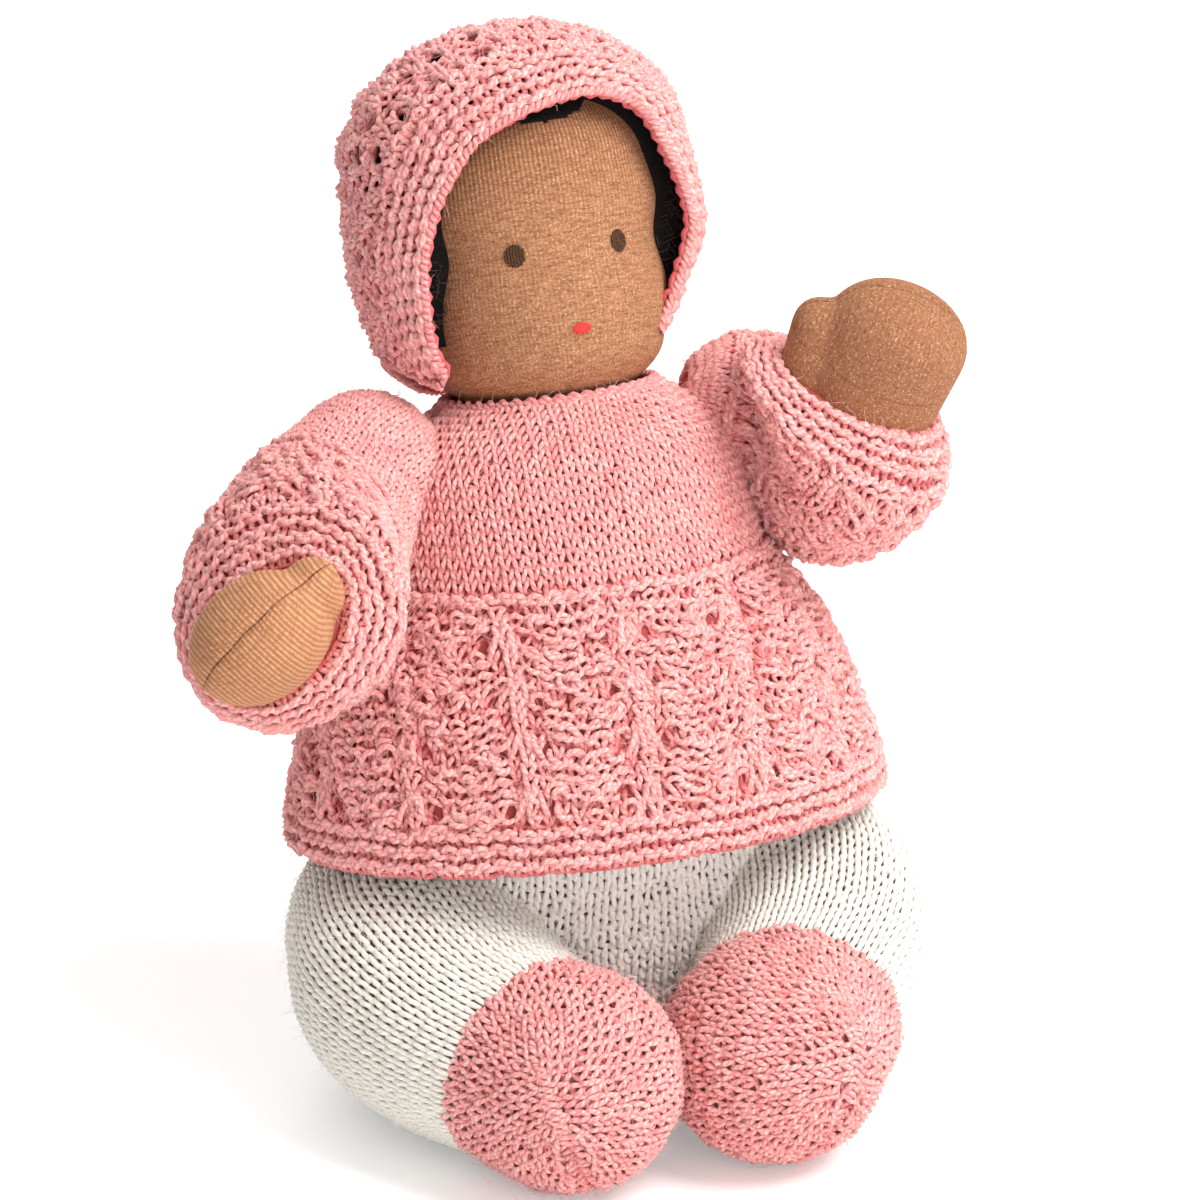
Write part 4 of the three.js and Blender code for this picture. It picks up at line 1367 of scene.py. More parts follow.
@dataclass
class ArmPose:
    """The lengths and directions of one arm."""

    upper: float
    fore: float
    root_out: float
    root_lift: float
    upper_out: float
    upper_lift: float
    fore_out: float
    fore_lift: float
    hand_out: float
    hand_lift: float
    thumb_turn: float
    ribs: float = 1.0
    ridge_share: float = 0.46
    shift: tuple = (0.0, 0.0, 0.0)
    # the hand's copy of the brown jersey, whose tone is painted light and shade; the lit copy by default
    cloth: Cloth = LIT_JERSEY


@dataclass
class Arm:
    """One arm: sleeve, cuff, hand and thumb."""

    dressing: Dressing
    word: str
    sign: int
    pose: ArmPose
    shoulder: tuple = (51.0, 14.0, 172.5)
    sleeve_radius: float = 34.5
    hand: float = 18
    fingertip: float = 16
    cuff: float = 17
    cuff_half_width: float = 30.5
    cuff_half_depth: float = 22
    hand_half_depth: float = 15.3
    thumb_radius: float = 9.2
    thumb_sink: float = 2
    thumb_length: float = 17
    thumb_offset: float = 13.4
    thumb_splay: float = 14
    palm_half_width: float = 20.2
    palm_shift: float = 2.6
    tuck: tuple = (4.0, 8.0, 1.5)
    tucked_radius: float = 21.5
    buried_depth: float = 3.5

    def aim(self, out: float, lift: float) -> Array:
        """A direction from its angles outward and upward."""
        level, turn = math.cos(math.radians(lift)), math.radians(out)
        return np.array([self.sign * math.sin(turn) * level, -math.cos(turn) * level, math.sin(math.radians(lift))])

    def lay_out(self) -> None:
        """Works out the arm's spine and directions."""
        p = self.pose
        pivot = np.array(self.shoulder) * np.array([self.sign, 1, 1])
        self.pivot = pivot
        root, upper = self.aim(p.root_out, p.root_lift), self.aim(p.upper_out, p.upper_lift)
        fore, self.hand_way = self.aim(p.fore_out, p.fore_lift), self.aim(p.hand_out, p.hand_lift)
        wrist = upper * p.upper + fore * p.fore
        wrist = wrist + np.array(p.shift)
        first, second = upper * p.upper * 0.7, wrist - fore * p.fore * 0.7
        bend = [3 * (1 - t) ** 2 * t * first + 3 * (1 - t) * t**2 * second + t**3 * wrist for t in (0, 1 / 3, 2 / 3)]
        points = [pivot + q for q in (*bend, wrist, wrist + self.hand_way * self.hand)]
        tuck = np.array(self.tuck) * np.array([self.sign, 1, 1])
        points[0], points[1] = points[0] + tuck, points[1] + tuck * 0.45
        self.spine = Spine(points)
        self.wrist_share = float(self.spine.far[3 * Spine.STEPS] / self.spine.length)
        across = unit(np.cross(self.hand_way, UPWARD))
        self.thumb_way = turned(across, self.hand_way, p.thumb_turn)
        self.wrist = pivot + wrist
        self.turn = (root, self.hand_way, self.wrist_share)

    def sleeve_outline(self) -> Outline:
        """The sleeve and cuff, drawn in round the hand."""
        r, wide, deep = self.sleeve_radius, self.cuff_half_width, self.cuff_half_depth
        tucked = self.tucked_radius
        sizes = [
            (0, tucked, tucked), (0.32, 0.77 * r, 0.77 * r), (0.62, 0.9 * r, 0.9 * r),
            (0.82, wide + 2.6, deep + 8), (0.93, wide - 2.2, deep + 1), (1, wide - 7.6, deep - 5.2),
        ]
        points = self.spine.at(np.linspace(0, self.wrist_share, 30))
        return Outline(Spine(points), self.thumb_way, sizes, tucked, turn=(*self.turn[:2], 1.0))

    def hand_outline(self) -> Outline:
        """The arm and hand inside the sleeve, without the thumb."""
        w, top = self.wrist_share, self.tucked_radius - 2.8
        wide, deep = self.palm_half_width, self.hand_half_depth
        sizes = [(0, top, top), (0.5 * w, 19, 19), (w, deep - 0.4, wide - 0.6), (1, deep + 0.6, wide)]
        share = np.linspace(0, 1, 24)
        shift = self.thumb_way * (self.palm_shift * np.clip(share / w, 0, 1))[:, None]
        points = self.spine.at(share) - shift
        across = unit(np.cross(self.hand_way, self.thumb_way))
        ends = {"start_dome": top, "end_dome": self.fingertip, "end_blunt": 0.85, "end_seam": 0.42}
        return Outline(Spine(points), across, sizes, turn=self.turn, **ends)

    def build(self, sweater: Bulk) -> None:
        """Makes the arm.

        Args:
            sweater: the space that the sweater fills.
        """
        self.lay_out()
        outline = self.sleeve_outline()
        body = f"{self.word}_arm"
        # A shell of painted shade under the sleeve's knit, dark rose, seen through its gaps.
        ground = OutlineSurface(outline, SHADE_SHELL_INSET).mesh(f"{self.word}_sleeve_shade_shell", sides=56, rings=44)
        self.dressing.dress(ground, PINK_PAINTED_SHADE, "pink_wool", body)
        surface = OutlineSurface(outline, KNIT_INSET)
        cuff, ridge = surface.length - self.cuff, surface.length * self.pose.ridge_share
        buried = lambda p: sweater.depth(p) > self.buried_depth
        zones = [
            ("sleeve_knit", 8.0, ridge, PLAIN_GAUGE, Fabric.STOCKINETTE, 44, "sleeve"),
            ("sleeve_ridge", ridge, ridge + 4.0, GARTER_GAUGE, Fabric.GARTER, 42, ""),
            ("sleeve_lace", ridge + 4.0, cuff, LACE_GAUGE, Fabric.LACE, 48, ""),
            ("cuff_knit", cuff, surface.length - 0.5, GARTER_GAUGE, Fabric.GARTER, 34, "cuff"),
        ]
        for seed, (name, start, end, gauge, fabric, columns, node) in enumerate(zones, 1):
            number = seed * 100 + self.sign
            knit = Knit(surface, start, end, gauge, fabric, [ROUND], columns, number, buried, eyelets=False)
            names = (f"{self.word}_{name}", f"{self.word}_{name}_fuzz")
            stands_for = [f"{self.word}_{node}"] if node else []
            self.dressing.knitted(names, knit.lay(), gauge, PINK_WOOL, body, stands_for, 6, seed * 7 + self.sign)
        self.make_hand(body)

    def make_hand(self, body: str) -> None:
        """Makes the stuffed hand with its thumb and seam."""
        surface = OutlineSurface(self.hand_outline())
        palm = surface.mesh(f"{self.word}_hand", sides=48, rings=64)
        root = self.wrist + self.thumb_way * self.thumb_offset - self.hand_way * self.thumb_sink
        swing = unit(np.cross(self.hand_way, self.thumb_way))
        tip = root + turned(self.hand_way, swing, self.thumb_splay) * self.thumb_length
        r = self.thumb_radius
        sizes = [(0, r, r), (1, r - 1.2, r - 1.8)]
        thumb = OutlineSurface(Outline(Spine([root, (root + tip) / 2, tip]), self.thumb_way, sizes, r, r - 1.5))
        bud = thumb.mesh("thumb", sides=20, rings=20)
        join = bmesh.new()
        join.from_mesh(palm.data)
        join.from_mesh(bud.data)
        join.to_mesh(palm.data)
        join.free()
        bpy.data.objects.remove(bud)
        steps = (
            ("REMESH", {"mode": "VOXEL", "voxel_size": 0.9 * MM}), ("SMOOTH", {"iterations": 20}),
        )
        for kind, settings in steps:
            modifier = palm.modifiers.new(kind.lower(), kind)
            for key, value in settings.items():
                setattr(modifier, key, value)
        palm = baked(palm)
        shape_seam(palm, self.wrist, self.thumb_way, swing, self.hand_way, self.pose.ribs)
        inside = (f"{self.word}_arm_skin", f"{self.word}_arm_stuffing")
        self.dressing.dress(palm, self.pose.cloth, "brown_jersey", body, *inside)


def baked(obj: bpy.types.Object) -> bpy.types.Object:
    """Applies an object's modifiers to its mesh."""
    graph = bpy.context.evaluated_depsgraph_get()
    graph.update()
    mesh = bpy.data.meshes.new_from_object(obj.evaluated_get(graph))
    obj.modifiers.clear()
    old = obj.data
    obj.data = mesh
    bpy.data.meshes.remove(old)
    obj.data.shade_smooth()
    return obj


def shape_seam(obj: bpy.types.Object, middle: Array, along: Array, across: Array, out: Array, ribs: float) -> None:
    """Draws the jersey in along a hand's seam, and marks its grain and the seam's groove, where a dark line of painted
    shade is drawn.

    Args:
        obj: the hand.
        middle: a point in the plane of the seam.
        along: the direction of the seam across the fingertips.
        across: the direction square to the seam.
        out: the direction in which the hand points.
        ribs: how strong the jersey's ribs are.
    """
    mesh = obj.data
    co = np.array([v.co for v in mesh.vertices]) / MM
    away = co - middle
    side, reach, run = away @ across, away @ out, away @ along
    side = side + 0.12 * np.sin(run * 0.55)
    near = np.clip((reach - 4) / 10, 0, 1)
    draw = (0.75 * np.exp(-((side / 0.6) ** 2)) - 0.2 * np.exp(-((side / 2.4) ** 2))) * near
    pucker = 0.16 * np.sin(2 * math.pi * run / RIB) * np.exp(-((side / 2.4) ** 2)) * near
    co -= out * (draw - pucker)[:, None]
    mesh.vertices.foreach_set("co", (co * MM).astype(np.float32).ravel())
    mark_grain(mesh, np.column_stack([run / RIB, reach + 0.7 * side, ribs * np.clip(0.7 + reach / 60, 0.5, 1.0)]))
    # The crease mark places the painted shade in the seam's groove.
    crease = mesh.attributes.new("crease", "FLOAT", "POINT")
    crease.data.foreach_set("value", ((side + SEAM_MARK) * near).astype(np.float32))
    mesh.update()


def mark_grain(mesh: bpy.types.Mesh, marks: Array) -> None:
    """Writes the jersey's grain: ribs across, height along and how strong the ribs are."""
    grain = mesh.attributes.new("grain", "FLOAT_VECTOR", "POINT")
    grain.data.foreach_set("vector", marks.astype(np.float32).ravel())


@dataclass
class Pants:
    """The seat of the pants and the body inside it."""

    dressing: Dressing
    sweater: Sweater
    seat_half_width: float = 66
    seat_half_depth: float = 46
    seat_back: float = 8
    seat_height: float = 26
    seat_drop: float = 23.7
    waist_height: float = 92
    waist_back: float = 4
    shares: tuple = (
        (0, 0.96, 0.96), (0.1, 1, 1), (0.26, 0.95, 0.98), (0.45, 0.85, 0.92), (0.6, 0.775, 0.9),
        (0.73, 0.74, 0.86), (0.9, 0.69, 0.73), (0.96, 0.59, 0.66), (1, 0.46, 0.56),
    )
    hips: tuple = ((-47.0, -2.0, 44.0), (47.0, -2.0, 44.0))
    hip_hides: float = 33
    columns: int = 84

    def outline(self) -> Outline:
        """The body from the seat to the neck."""
        inner = self.sweater.outline()
        shares = (self.sweater.ridge / self.sweater.length, 0.96)
        high = [self.sweater.lean.points(inner.spine.at(np.array([s])))[0] for s in shares]
        low = [np.array([0, self.seat_back, self.seat_height]), np.array([0, self.waist_back, self.waist_height])]
        sizes = [(s, w * self.seat_half_width, d * self.seat_half_depth) for s, w, d in self.shares]
        return Outline(Spine([*low, *high]), SIDEWAYS, sizes, self.seat_drop, start_blunt=0.5, start_flat=0.2)

    def buried(self, points: Array) -> Array:
        """Which points lie inside the balls of the thighs."""
        gaps = [np.linalg.norm(points - np.array(h), axis=1) for h in self.hips]
        return np.min(gaps, axis=0) < self.hip_hides

    def build(self) -> Bulk:
        """Makes the body and the seat of the pants.

        Returns:
            The space that the seat fills.
        """
        outline = self.outline()
        skin = OutlineSurface(outline, 0.3).mesh("body_skin", sides=64, rings=60)
        self.dressing.dress(skin, LEG_JERSEY, "brown_jersey", "torso", "torso_skin", "torso_stuffing")
        bulk = Bulk(skin)
        surface = OutlineSurface(outline, -1.7)
        top = surface.along_at(0.45)
        knit = Knit(surface, 14.0, top, SEAT_GAUGE, Fabric.STOCKINETTE, [ROUND], self.columns, 3, eyelets=False)
        knit.hidden = lambda p: self.buried(p) | self.sweater.covers(p)
        names, nodes = ("pants_seat_knit", "pants_seat_fuzz"), ("pants_seat", "pants_waistband")
        self.dressing.knitted(names, knit.lay(), SEAT_GAUGE, SEAT_LIT_WOOL, "torso", nodes, 7, 8, level=0, reach=5.0)
        return bulk


@dataclass
class Leg:
    """One leg: pant leg and knitted foot."""

    dressing: Dressing
    word: str
    sign: int
    foot_reach: float
    foot_forward: float
    hip: tuple = (47.0, -2.0, 44.0)
    hip_radius: float = 37.5
    thigh_radius: float = 36
    ankle_radius: float = 30
    foot_half_width: float = 30.4
    foot_half_height: float = 31
    toe_depth: float = 30
    thigh: tuple = (53.5, -24, 41.5)
    shin: tuple = (48, -46, 36)
    foot_height: float = 31.3
    ankle_share: float = 0.8
    toe_way: tuple = (0.42, -0.87, 0.16)
    toe_seam: tuple = (0.3, 0.2, 1.0)
    slack: float = 1.1
    buried_depth: float = 5
    columns: int = 50

    def outline(self) -> Outline:
        """The leg from the hip to the toe."""
        flip = np.array([self.sign, 1, 1])
        foot = np.array([self.foot_reach, -self.foot_forward, self.foot_height])
        spine = Spine([np.array(p) * flip for p in (self.hip, self.thigh, self.shin, foot)])
        sizes = [
            (0, self.hip_radius, self.hip_radius), (0.35, self.thigh_radius, self.thigh_radius),
            (self.ankle_share, self.ankle_radius, self.ankle_radius), (1, self.foot_half_width, self.foot_half_height),
        ]
        turn = (spine.tangent(np.array([0.0]))[0], spine.tangent(np.array([1.0]))[0], 1.0)
        return Outline(spine, SIDEWAYS, sizes, self.hip_radius, self.toe_depth, end_blunt=0.95, turn=turn)

    def build(self, body: Bulk, sweater: Sweater) -> None:
        """Makes the leg.

        Args:
            body: the space that the body fills.
            sweater: the sweater over it.
        """
        outline = self.outline()
        rides = f"{self.word}_leg"
        skin = OutlineSurface(outline, self.slack + 1.3).mesh(f"{self.word}_leg_inside", sides=56, rings=56)
        inside = (f"{self.word}_leg_skin", f"{self.word}_leg_stuffing")
        self.dressing.dress(skin, LEG_JERSEY, "brown_jersey", rides, *inside)
        surface = OutlineSurface(outline, self.slack)
        ankle = surface.along_at(self.ankle_share)
        buried = lambda p: (body.depth(p) > self.buried_depth) | sweater.covers(p)
        pant = Knit(surface, 12.0, ankle, CREAM_GAUGE, Fabric.STOCKINETTE, [ROUND], self.columns, 7, buried)
        names = (f"{self.word}_pant_leg_knit", f"{self.word}_pant_leg_fuzz")
        nodes = [f"{self.word}_pant_leg"]
        self.dressing.knitted(names, pant.lay(), CREAM_GAUGE, CREAM_WOOL, rides, nodes, 9, 3 + self.sign)
        self.make_foot(outline, surface, ankle, rides)

    def make_foot(self, outline: Outline, surface: OutlineSurface, ankle: float, rides: str) -> None:
        """Makes the knitted foot.

        Args:
            outline: the leg's form.
            surface: the pant leg's surface.
            ankle: where the foot starts along it.
            rides: the body that it rides on.
        """
        flip = np.array([self.sign, 1, 1])
        centre = outline.spine.at(np.array([0.97]))[0]
        rim = surface.points(np.full(3, ankle), np.array([0.0, 2.1, 4.2]))
        way = unit(np.cross(rim[1] - rim[0], rim[2] - rim[0]))
        way = way if (centre - rim[0]) @ way > 0 else -way
        bulk = Bulk(surface.mesh("foot_form", sides=72, rings=90))
        pole = np.array(self.toe_way) * flip
        ball = BallSurface(bulk, centre, pole, np.array(self.toe_seam) * flip, self.foot_half_width, 0.3)
        behind = lambda p: (p - rim[0]) @ way < -0.2
        foot = Knit(ball, 0.0, ball.length - 0.4, FOOT_GAUGE, Fabric.STOCKINETTE, [UNDER], None, 9 + self.sign, behind)
        laid = foot.lay()
        self.sew_toe(laid, ball)
        bpy.data.objects.remove(bpy.data.objects["foot_form"])
        names = (f"{self.word}_foot_knit", f"{self.word}_foot_fuzz")
        self.dressing.knitted(names, laid, FOOT_GAUGE, PINK_WOOL, rides, [f"{self.word}_foot"], 6, 5 + self.sign)

    def sew_toe(self, laid: Laid, ball: BallSurface) -> None:
        """Closes the toe with a row of stitches.

        Args:
            laid: the foot's yarn, to which the stitches are added.
            ball: the foot's surface.
        """
        reach = np.linspace(-0.36, 0.36, 12)
        for far in reach:
            way = unit(ball.pole + ball.seam * far)
            t = np.linspace(-1, 1, 7)[:, None]
            ways = unit(way + ball.side * t * 0.055 + ball.seam * t * 0.03)
            hits = [ball.bulk.tree.ray_cast(Vector(ball.centre * MM), Vector(w))[0] for w in ways]
            line = np.array(hits) / MM + way * (1.0 - 1.1 * t * t)
            laid.add(line, False, np.tile(way, (7, 1)), np.full(7, 0.5))


@dataclass
class Head:
    """The stuffed head with its stitched face, and the neck."""

    dressing: Dressing
    lean: Lean = Lean(22.9, 184.6, 27)
    centre: float = 52
    half_width: float = 35.2
    half_depth: float = 36
    jaw: float = 37
    chin: float = 19
    brow: float = 12
    crown: float = 28
    eye_spacing: float = 29.4
    aside: float = -0.4
    eye_drop: float = 11.6
    mouth_drop: float = 33.5
    shares: tuple = (
        (0, 0.9, 0.92), (0.12, 0.96, 0.98), (0.3, 0.985, 0.99), (0.53, 0.955, 0.955), (0.75, 1.04, 1), (1, 1.03, 0.985),
    )

    def outline(self) -> Outline:
        """The head's outline."""
        low, high = self.centre - self.jaw, self.centre + self.brow
        sizes = [(s, w * self.half_width, d * self.half_depth) for s, w, d in self.shares]
        spine = Spine([(0, 0, low), (0, 0, (low + high) / 2), (0, 0, high)])
        return Outline(spine, SIDEWAYS, sizes, self.chin, self.crown, start_blunt=1.5, end_blunt=0.95, lean=self.lean)

    def face(self, across: Array, drop: Array) -> Array:
        """Points on the face.

        Args:
            across: distances to the doll's left of the middle.
            drop: distances below the middle of the head.

        Returns:
            The points in the row frame.
        """
        share = (self.jaw - drop) / (self.jaw + self.brow)
        o = self.outline()
        wide, deep = smooth_table(o.sizes, share, 1), smooth_table(o.sizes, share, 2)
        y = -deep * np.sqrt(1 - (across / wide) ** 2)
        return self.lean.points(np.column_stack([across, y, self.centre - drop]))

    def build(self) -> None:
        """Makes the head, its features and the neck."""
        surface = OutlineSurface(self.outline())
        skin = surface.mesh("head", sides=96, rings=80)
        mesh = skin.data
        co = np.array([v.co for v in mesh.vertices]) / MM
        local = self.lean.local(co)
        turn = np.arctan2(local[:, 0], -local[:, 1])
        high = local[:, 2] - self.centre
        strong = np.clip((high + 4) / 22, 0, 1) * 0.65 + 0.3
        mark_grain(mesh, np.column_stack([turn * self.half_width / RIB, high, strong]))
        self.dressing.dress(skin, JERSEY, "brown_jersey", "head", "head_skin", "head_stuffing", "eye_line_thread")
        for name, across, drop, half_w, half_h, finish, upright in (
            ("right_eye", -self.eye_spacing / 2 + self.aside, self.eye_drop, 2.5, 3.1, BROWN_FLOSS, True),
            ("left_eye", self.eye_spacing / 2 + self.aside, self.eye_drop, 2.3, 3.1, BROWN_FLOSS, True),
            ("mouth", self.aside * 1.6, self.mouth_drop, 2.6, 1.35, RED_FLOSS, False),
        ):
            self.stitch(name, across, drop, half_w, half_h, finish, upright)
        neck = self.make_neck()
        self.dressing.dress(neck, JERSEY, "brown_jersey", "neck", "neck_stem", "neck_tie")

    def stitch(
        self, name: str, across: float, drop: float, half_w: float, half_h: float, finish: Yarn, upright: bool
    ) -> None:
        """Lays a patch of satin stitches.

        Args:
            name: the piece and the CAD node that it stands for.
            across: its middle, to the doll's left.
            drop: its middle, below the head's.
            half_w: half its width.
            half_h: half its height.
            finish: its floss.
            upright: whether its stitches stand up.
        """
        lines = []
        count = 7 if upright else 5
        for k in range(count):
            place = (k - (count - 1) / 2) / (count / 2)
            reach = math.sqrt(max(1 - place * place, 0.05))
            t = np.linspace(-1, 1, 9)
            x = across + (np.full(9, place * half_w) if upright else t * half_w * reach)
            y = drop + (t * half_h * reach if upright else np.full(9, place * half_h))
            p = self.face(x, y)
            out = unit(p - self.lean.points(np.column_stack([np.zeros(9), np.zeros(9), self.centre - y])))
            lines.append(p + out * (0.5 * np.sqrt(np.maximum(1 - t * t, 0)) - 0.15)[:, None])
        thread = strands(name + "_floss", bare(lines, lift=2.0), 0.42 if upright else 0.36)
        self.dressing.dress(thread, finish, finish.name, "head", name)

    def make_neck(self) -> bpy.types.Object:
        """The neck between the body and the head."""
        sizes = [(0, 13, 13), (0.4, 10, 10), (1, 9, 9)]
        spine = Spine([(0, 0, -2), (0, 0, 6), (0, 0, 15)])
        return OutlineSurface(Outline(spine, SIDEWAYS, sizes, 10, lean=self.lean)).mesh("neck", 32, 24)


class BonnetSurface:
    """The bonnet's surface, by distance back from its face opening and angle round."""

    DEPTH_GUESS = 79.0

    def __init__(self, bonnet: "Bonnet", inset: float) -> None:
        """Works out how far apart the courses lie.

        Args:
            bonnet: the bonnet's sizes.
            inset: how far the surface lies inside its outside.
        """
        self.bonnet = bonnet
        self.inset = inset
        self.normal = turned(np.array([0.0, -1.0, 0.0]), SIDEWAYS, bonnet.opening_angle)
        self.rise = risen(self.normal)
        self.start = np.array([0.0, -bonnet.opening_forward, bonnet.centre])
        self.deepest = self.DEPTH_GUESS
        tries = np.linspace(60, 90, 301)
        self.deepest = float(tries[bonnet.inside(self._middle(tries), inset)].max())
        self.back = np.linspace(0, self.deepest - 0.1, 90)
        turns = np.linspace(-1.3, 1.3, 9)
        rings = np.stack([self._cut(self.back, np.full(90, a)) for a in turns])
        steps = np.mean(np.linalg.norm(np.diff(rings, axis=1), axis=2), axis=0)
        self.far = np.concatenate([[0], np.cumsum(steps)])
        self.length = float(self.far[-1])

    def _middle(self, back: Array) -> Array:
        """The points round which the courses run."""
        middle = self.start - self.normal * back[:, None]
        height = self.bonnet.centre + 6 + 15.5 * np.clip(back / self.deepest, 0, 1)
        return middle + self.rise * ((height - middle[:, 2]) / self.rise[2])[:, None]

    def _cut(self, back: Array, angle: Array) -> Array:
        """Points where planes behind the opening cut the bonnet.

        Args:
            back: distances behind the opening.
            angle: angles round, 0 at the top.

        Returns:
            The points in the head's leaning frame.
        """
        b = self.bonnet
        middle = self._middle(back)
        way = SIDEWAYS * np.sin(angle)[:, None] + self.rise * np.cos(angle)[:, None]
        turn = (angle + math.pi - b.visor_turn) % (2 * math.pi) - math.pi
        visor = b.visor * np.exp(-((turn / 1.15) ** 2)) * np.clip(1 - back / 45, 0, 1)
        middle = middle + self.normal * visor[:, None]
        low, high = np.zeros(len(back)), np.full(len(back), 120.0)
        for _ in range(30):
            half = (low + high) / 2
            inside = b.inside(middle + way * half[:, None], self.inset)
            low, high = np.where(inside, half, low), np.where(inside, high, half)
        return middle + way * low[:, None]

    def points(self, along: Array, angle: Array) -> Array:
        """Points at distances back and angles round."""
        back = np.interp(along, self.far, self.back)
        return self.bonnet.lean.points(self._cut(back, np.asarray(angle, float)))

    def ring(self, along: float, start: float, end: float) -> tuple[Array, Array]:
        """Angles of one course and the length of cloth up to each."""
        return ring_lengths(self, along, start, end)


@dataclass
class Bonnet:
    """The knitted bonnet, worked back from its face opening, and the hair under it."""

    dressing: Dressing
    lean: Lean = Lean(24, 185.6, 27)
    centre: float = 52
    half_width: float = 48.6
    half_depth: float = 48.4
    shift: float = -1.2
    visor: float = 6.5
    pinch: float = 9.0
    visor_turn: float = -0.4
    arch: float = 11.0
    drop: float = 41
    dome_rise: float = 15
    dome_depth: float = 36
    opening_forward: float = 30
    opening_angle: float = 15
    brim: float = 14
    hair_inset: float = 4.2
    curl_count: int = 900
    shares: tuple = ((0, 0.83, 0.87), (0.12, 0.9, 0.92), (0.32, 0.955, 0.97), (0.6, 1, 1), (1, 0.97, 0.97))

    HAIRLINE = ((-60, -20, -8, 4, 14, 24, 32, 60), (79, 76.5, 75, 74.8, 76, 79, 85, 90))

    def inside(self, points: Array, inset: float) -> Array:
        """Which points in the leaning frame lie inside the bonnet's form."""
        low, high = self.centre - self.drop, self.centre + self.dome_rise
        share = np.clip((points[:, 2] - low) / (high - low), 0, 1)
        across = points[:, 0] + self.drawn_in(points)
        wide = smooth_table(self.shares, share, 1) * self.half_width - inset
        deep = smooth_table(self.shares, share, 2) * self.half_depth - inset
        above = np.maximum(points[:, 2] - high, 0) / (self.dome_depth - inset)
        return ((across - self.shift) / wide) ** 2 + (points[:, 1] / deep) ** 2 + above**2 < 1

    def drawn_in(self, points: Array) -> Array:
        """How far the lower left side is drawn in towards the jaw at points of the leaning frame."""
        low = self.centre - self.drop
        share = (points[:, 2] - low) / (self.drop + self.dome_rise)
        return self.pinch * np.clip((0.55 - share) / 0.43, 0, 1) ** 1.2 * np.clip(points[:, 0] / 10, 0, 1)

    def below(self, points: Array, margin: float) -> Array:
        """Which points of the row frame lie below the bonnet's neck edge."""
        inverse = np.array(self.lean.matrix().inverted())
        height = points @ inverse[2, :3] + inverse[2, 3]
        back = points @ inverse[1, :3] + inverse[1, 3]
        side = np.clip(points[:, 0] / 15, 0, 1)
        rise = self.arch * np.exp(-(((back - 8) / 20) ** 2)) - 4.5 + 6.0 * side
        return height < self.centre - self.drop + rise + margin

    def build(self) -> None:
        """Makes the bonnet and the hair."""
        surface = BonnetSurface(self, 1.3)
        brim = float(np.interp(self.brim, surface.back, surface.far))
        panel = (-math.pi, math.pi)
        hide = lambda p: self.below(p, 0.0)
        zones = [
            ("bonnet_brim", 0.8, brim, GARTER_GAUGE, Fabric.GARTER),
            ("bonnet_crown", brim, surface.length - 1.5, LACE_GAUGE, Fabric.CROWN),
        ]
        for seed, (name, start, end, gauge, fabric) in enumerate(zones, 1):
            knit = Knit(surface, start, end, gauge, fabric, [panel], seed=seed * 17, hidden=hide)
            laid = knit.lay()
            if fabric is Fabric.CROWN:
                self.draw_up(laid, surface)
            names = (f"{name}_knit", f"{name}_fuzz")
            self.dressing.knitted(names, laid, gauge, PINK_WOOL, "head", [name], 6, seed * 19)
        self.make_edges(surface)
        self.make_hair(surface.start, surface.normal)

    def draw_up(self, laid: Laid, surface: BonnetSurface) -> None:
        """Closes the back of the crown with the drawn-up end of the yarn."""
        turn = np.linspace(0, 8 * math.pi, 120)
        reach = np.linspace(6.5, 0.4, 120) + 0.5 * np.sin(turn * 5.3)
        line = surface.points(surface.length - reach, turn % (2 * math.pi) - math.pi)
        out = np.tile(self.lean.directions(-surface.normal), (120, 1))
        laid.add(line + out * (0.5 + 0.4 * np.sin(turn * 4.1))[:, None], False, out, np.full(120, 0.2))

    def make_edges(self, surface: BonnetSurface) -> None:
        """Lays the bound-off chain of the face and neck edges."""
        angle = np.linspace(-math.pi, math.pi, 900)
        rim = surface.points(np.full(900, 0.6), angle)
        rim = rim[~self.below(rim, 0.0)]
        lines = chain(rim, unit(rim - rim.mean(axis=0)), self.lean.directions(surface.normal))
        down = self.lean.directions(-UPWARD)
        for sign in (-1, 1):
            path = []
            for along in np.linspace(1.0, surface.length - 8, 70):
                ring = surface.points(np.full(240, along), np.linspace(0.5, math.pi, 240) * sign)
                under = np.flatnonzero(self.below(ring, 0.0))
                if len(under):
                    path.append(ring[under[0]])
            hem = np.array(path)
            lines += chain(hem, unit(hem - self.lean.points(np.array([0.0, 0.0, self.centre - self.drop]))), down)
        piece = strands("bonnet_edge", bare(lines), 0.7)
        self.dressing.dress(piece, PINK_YARN, "pink_wool", "head")

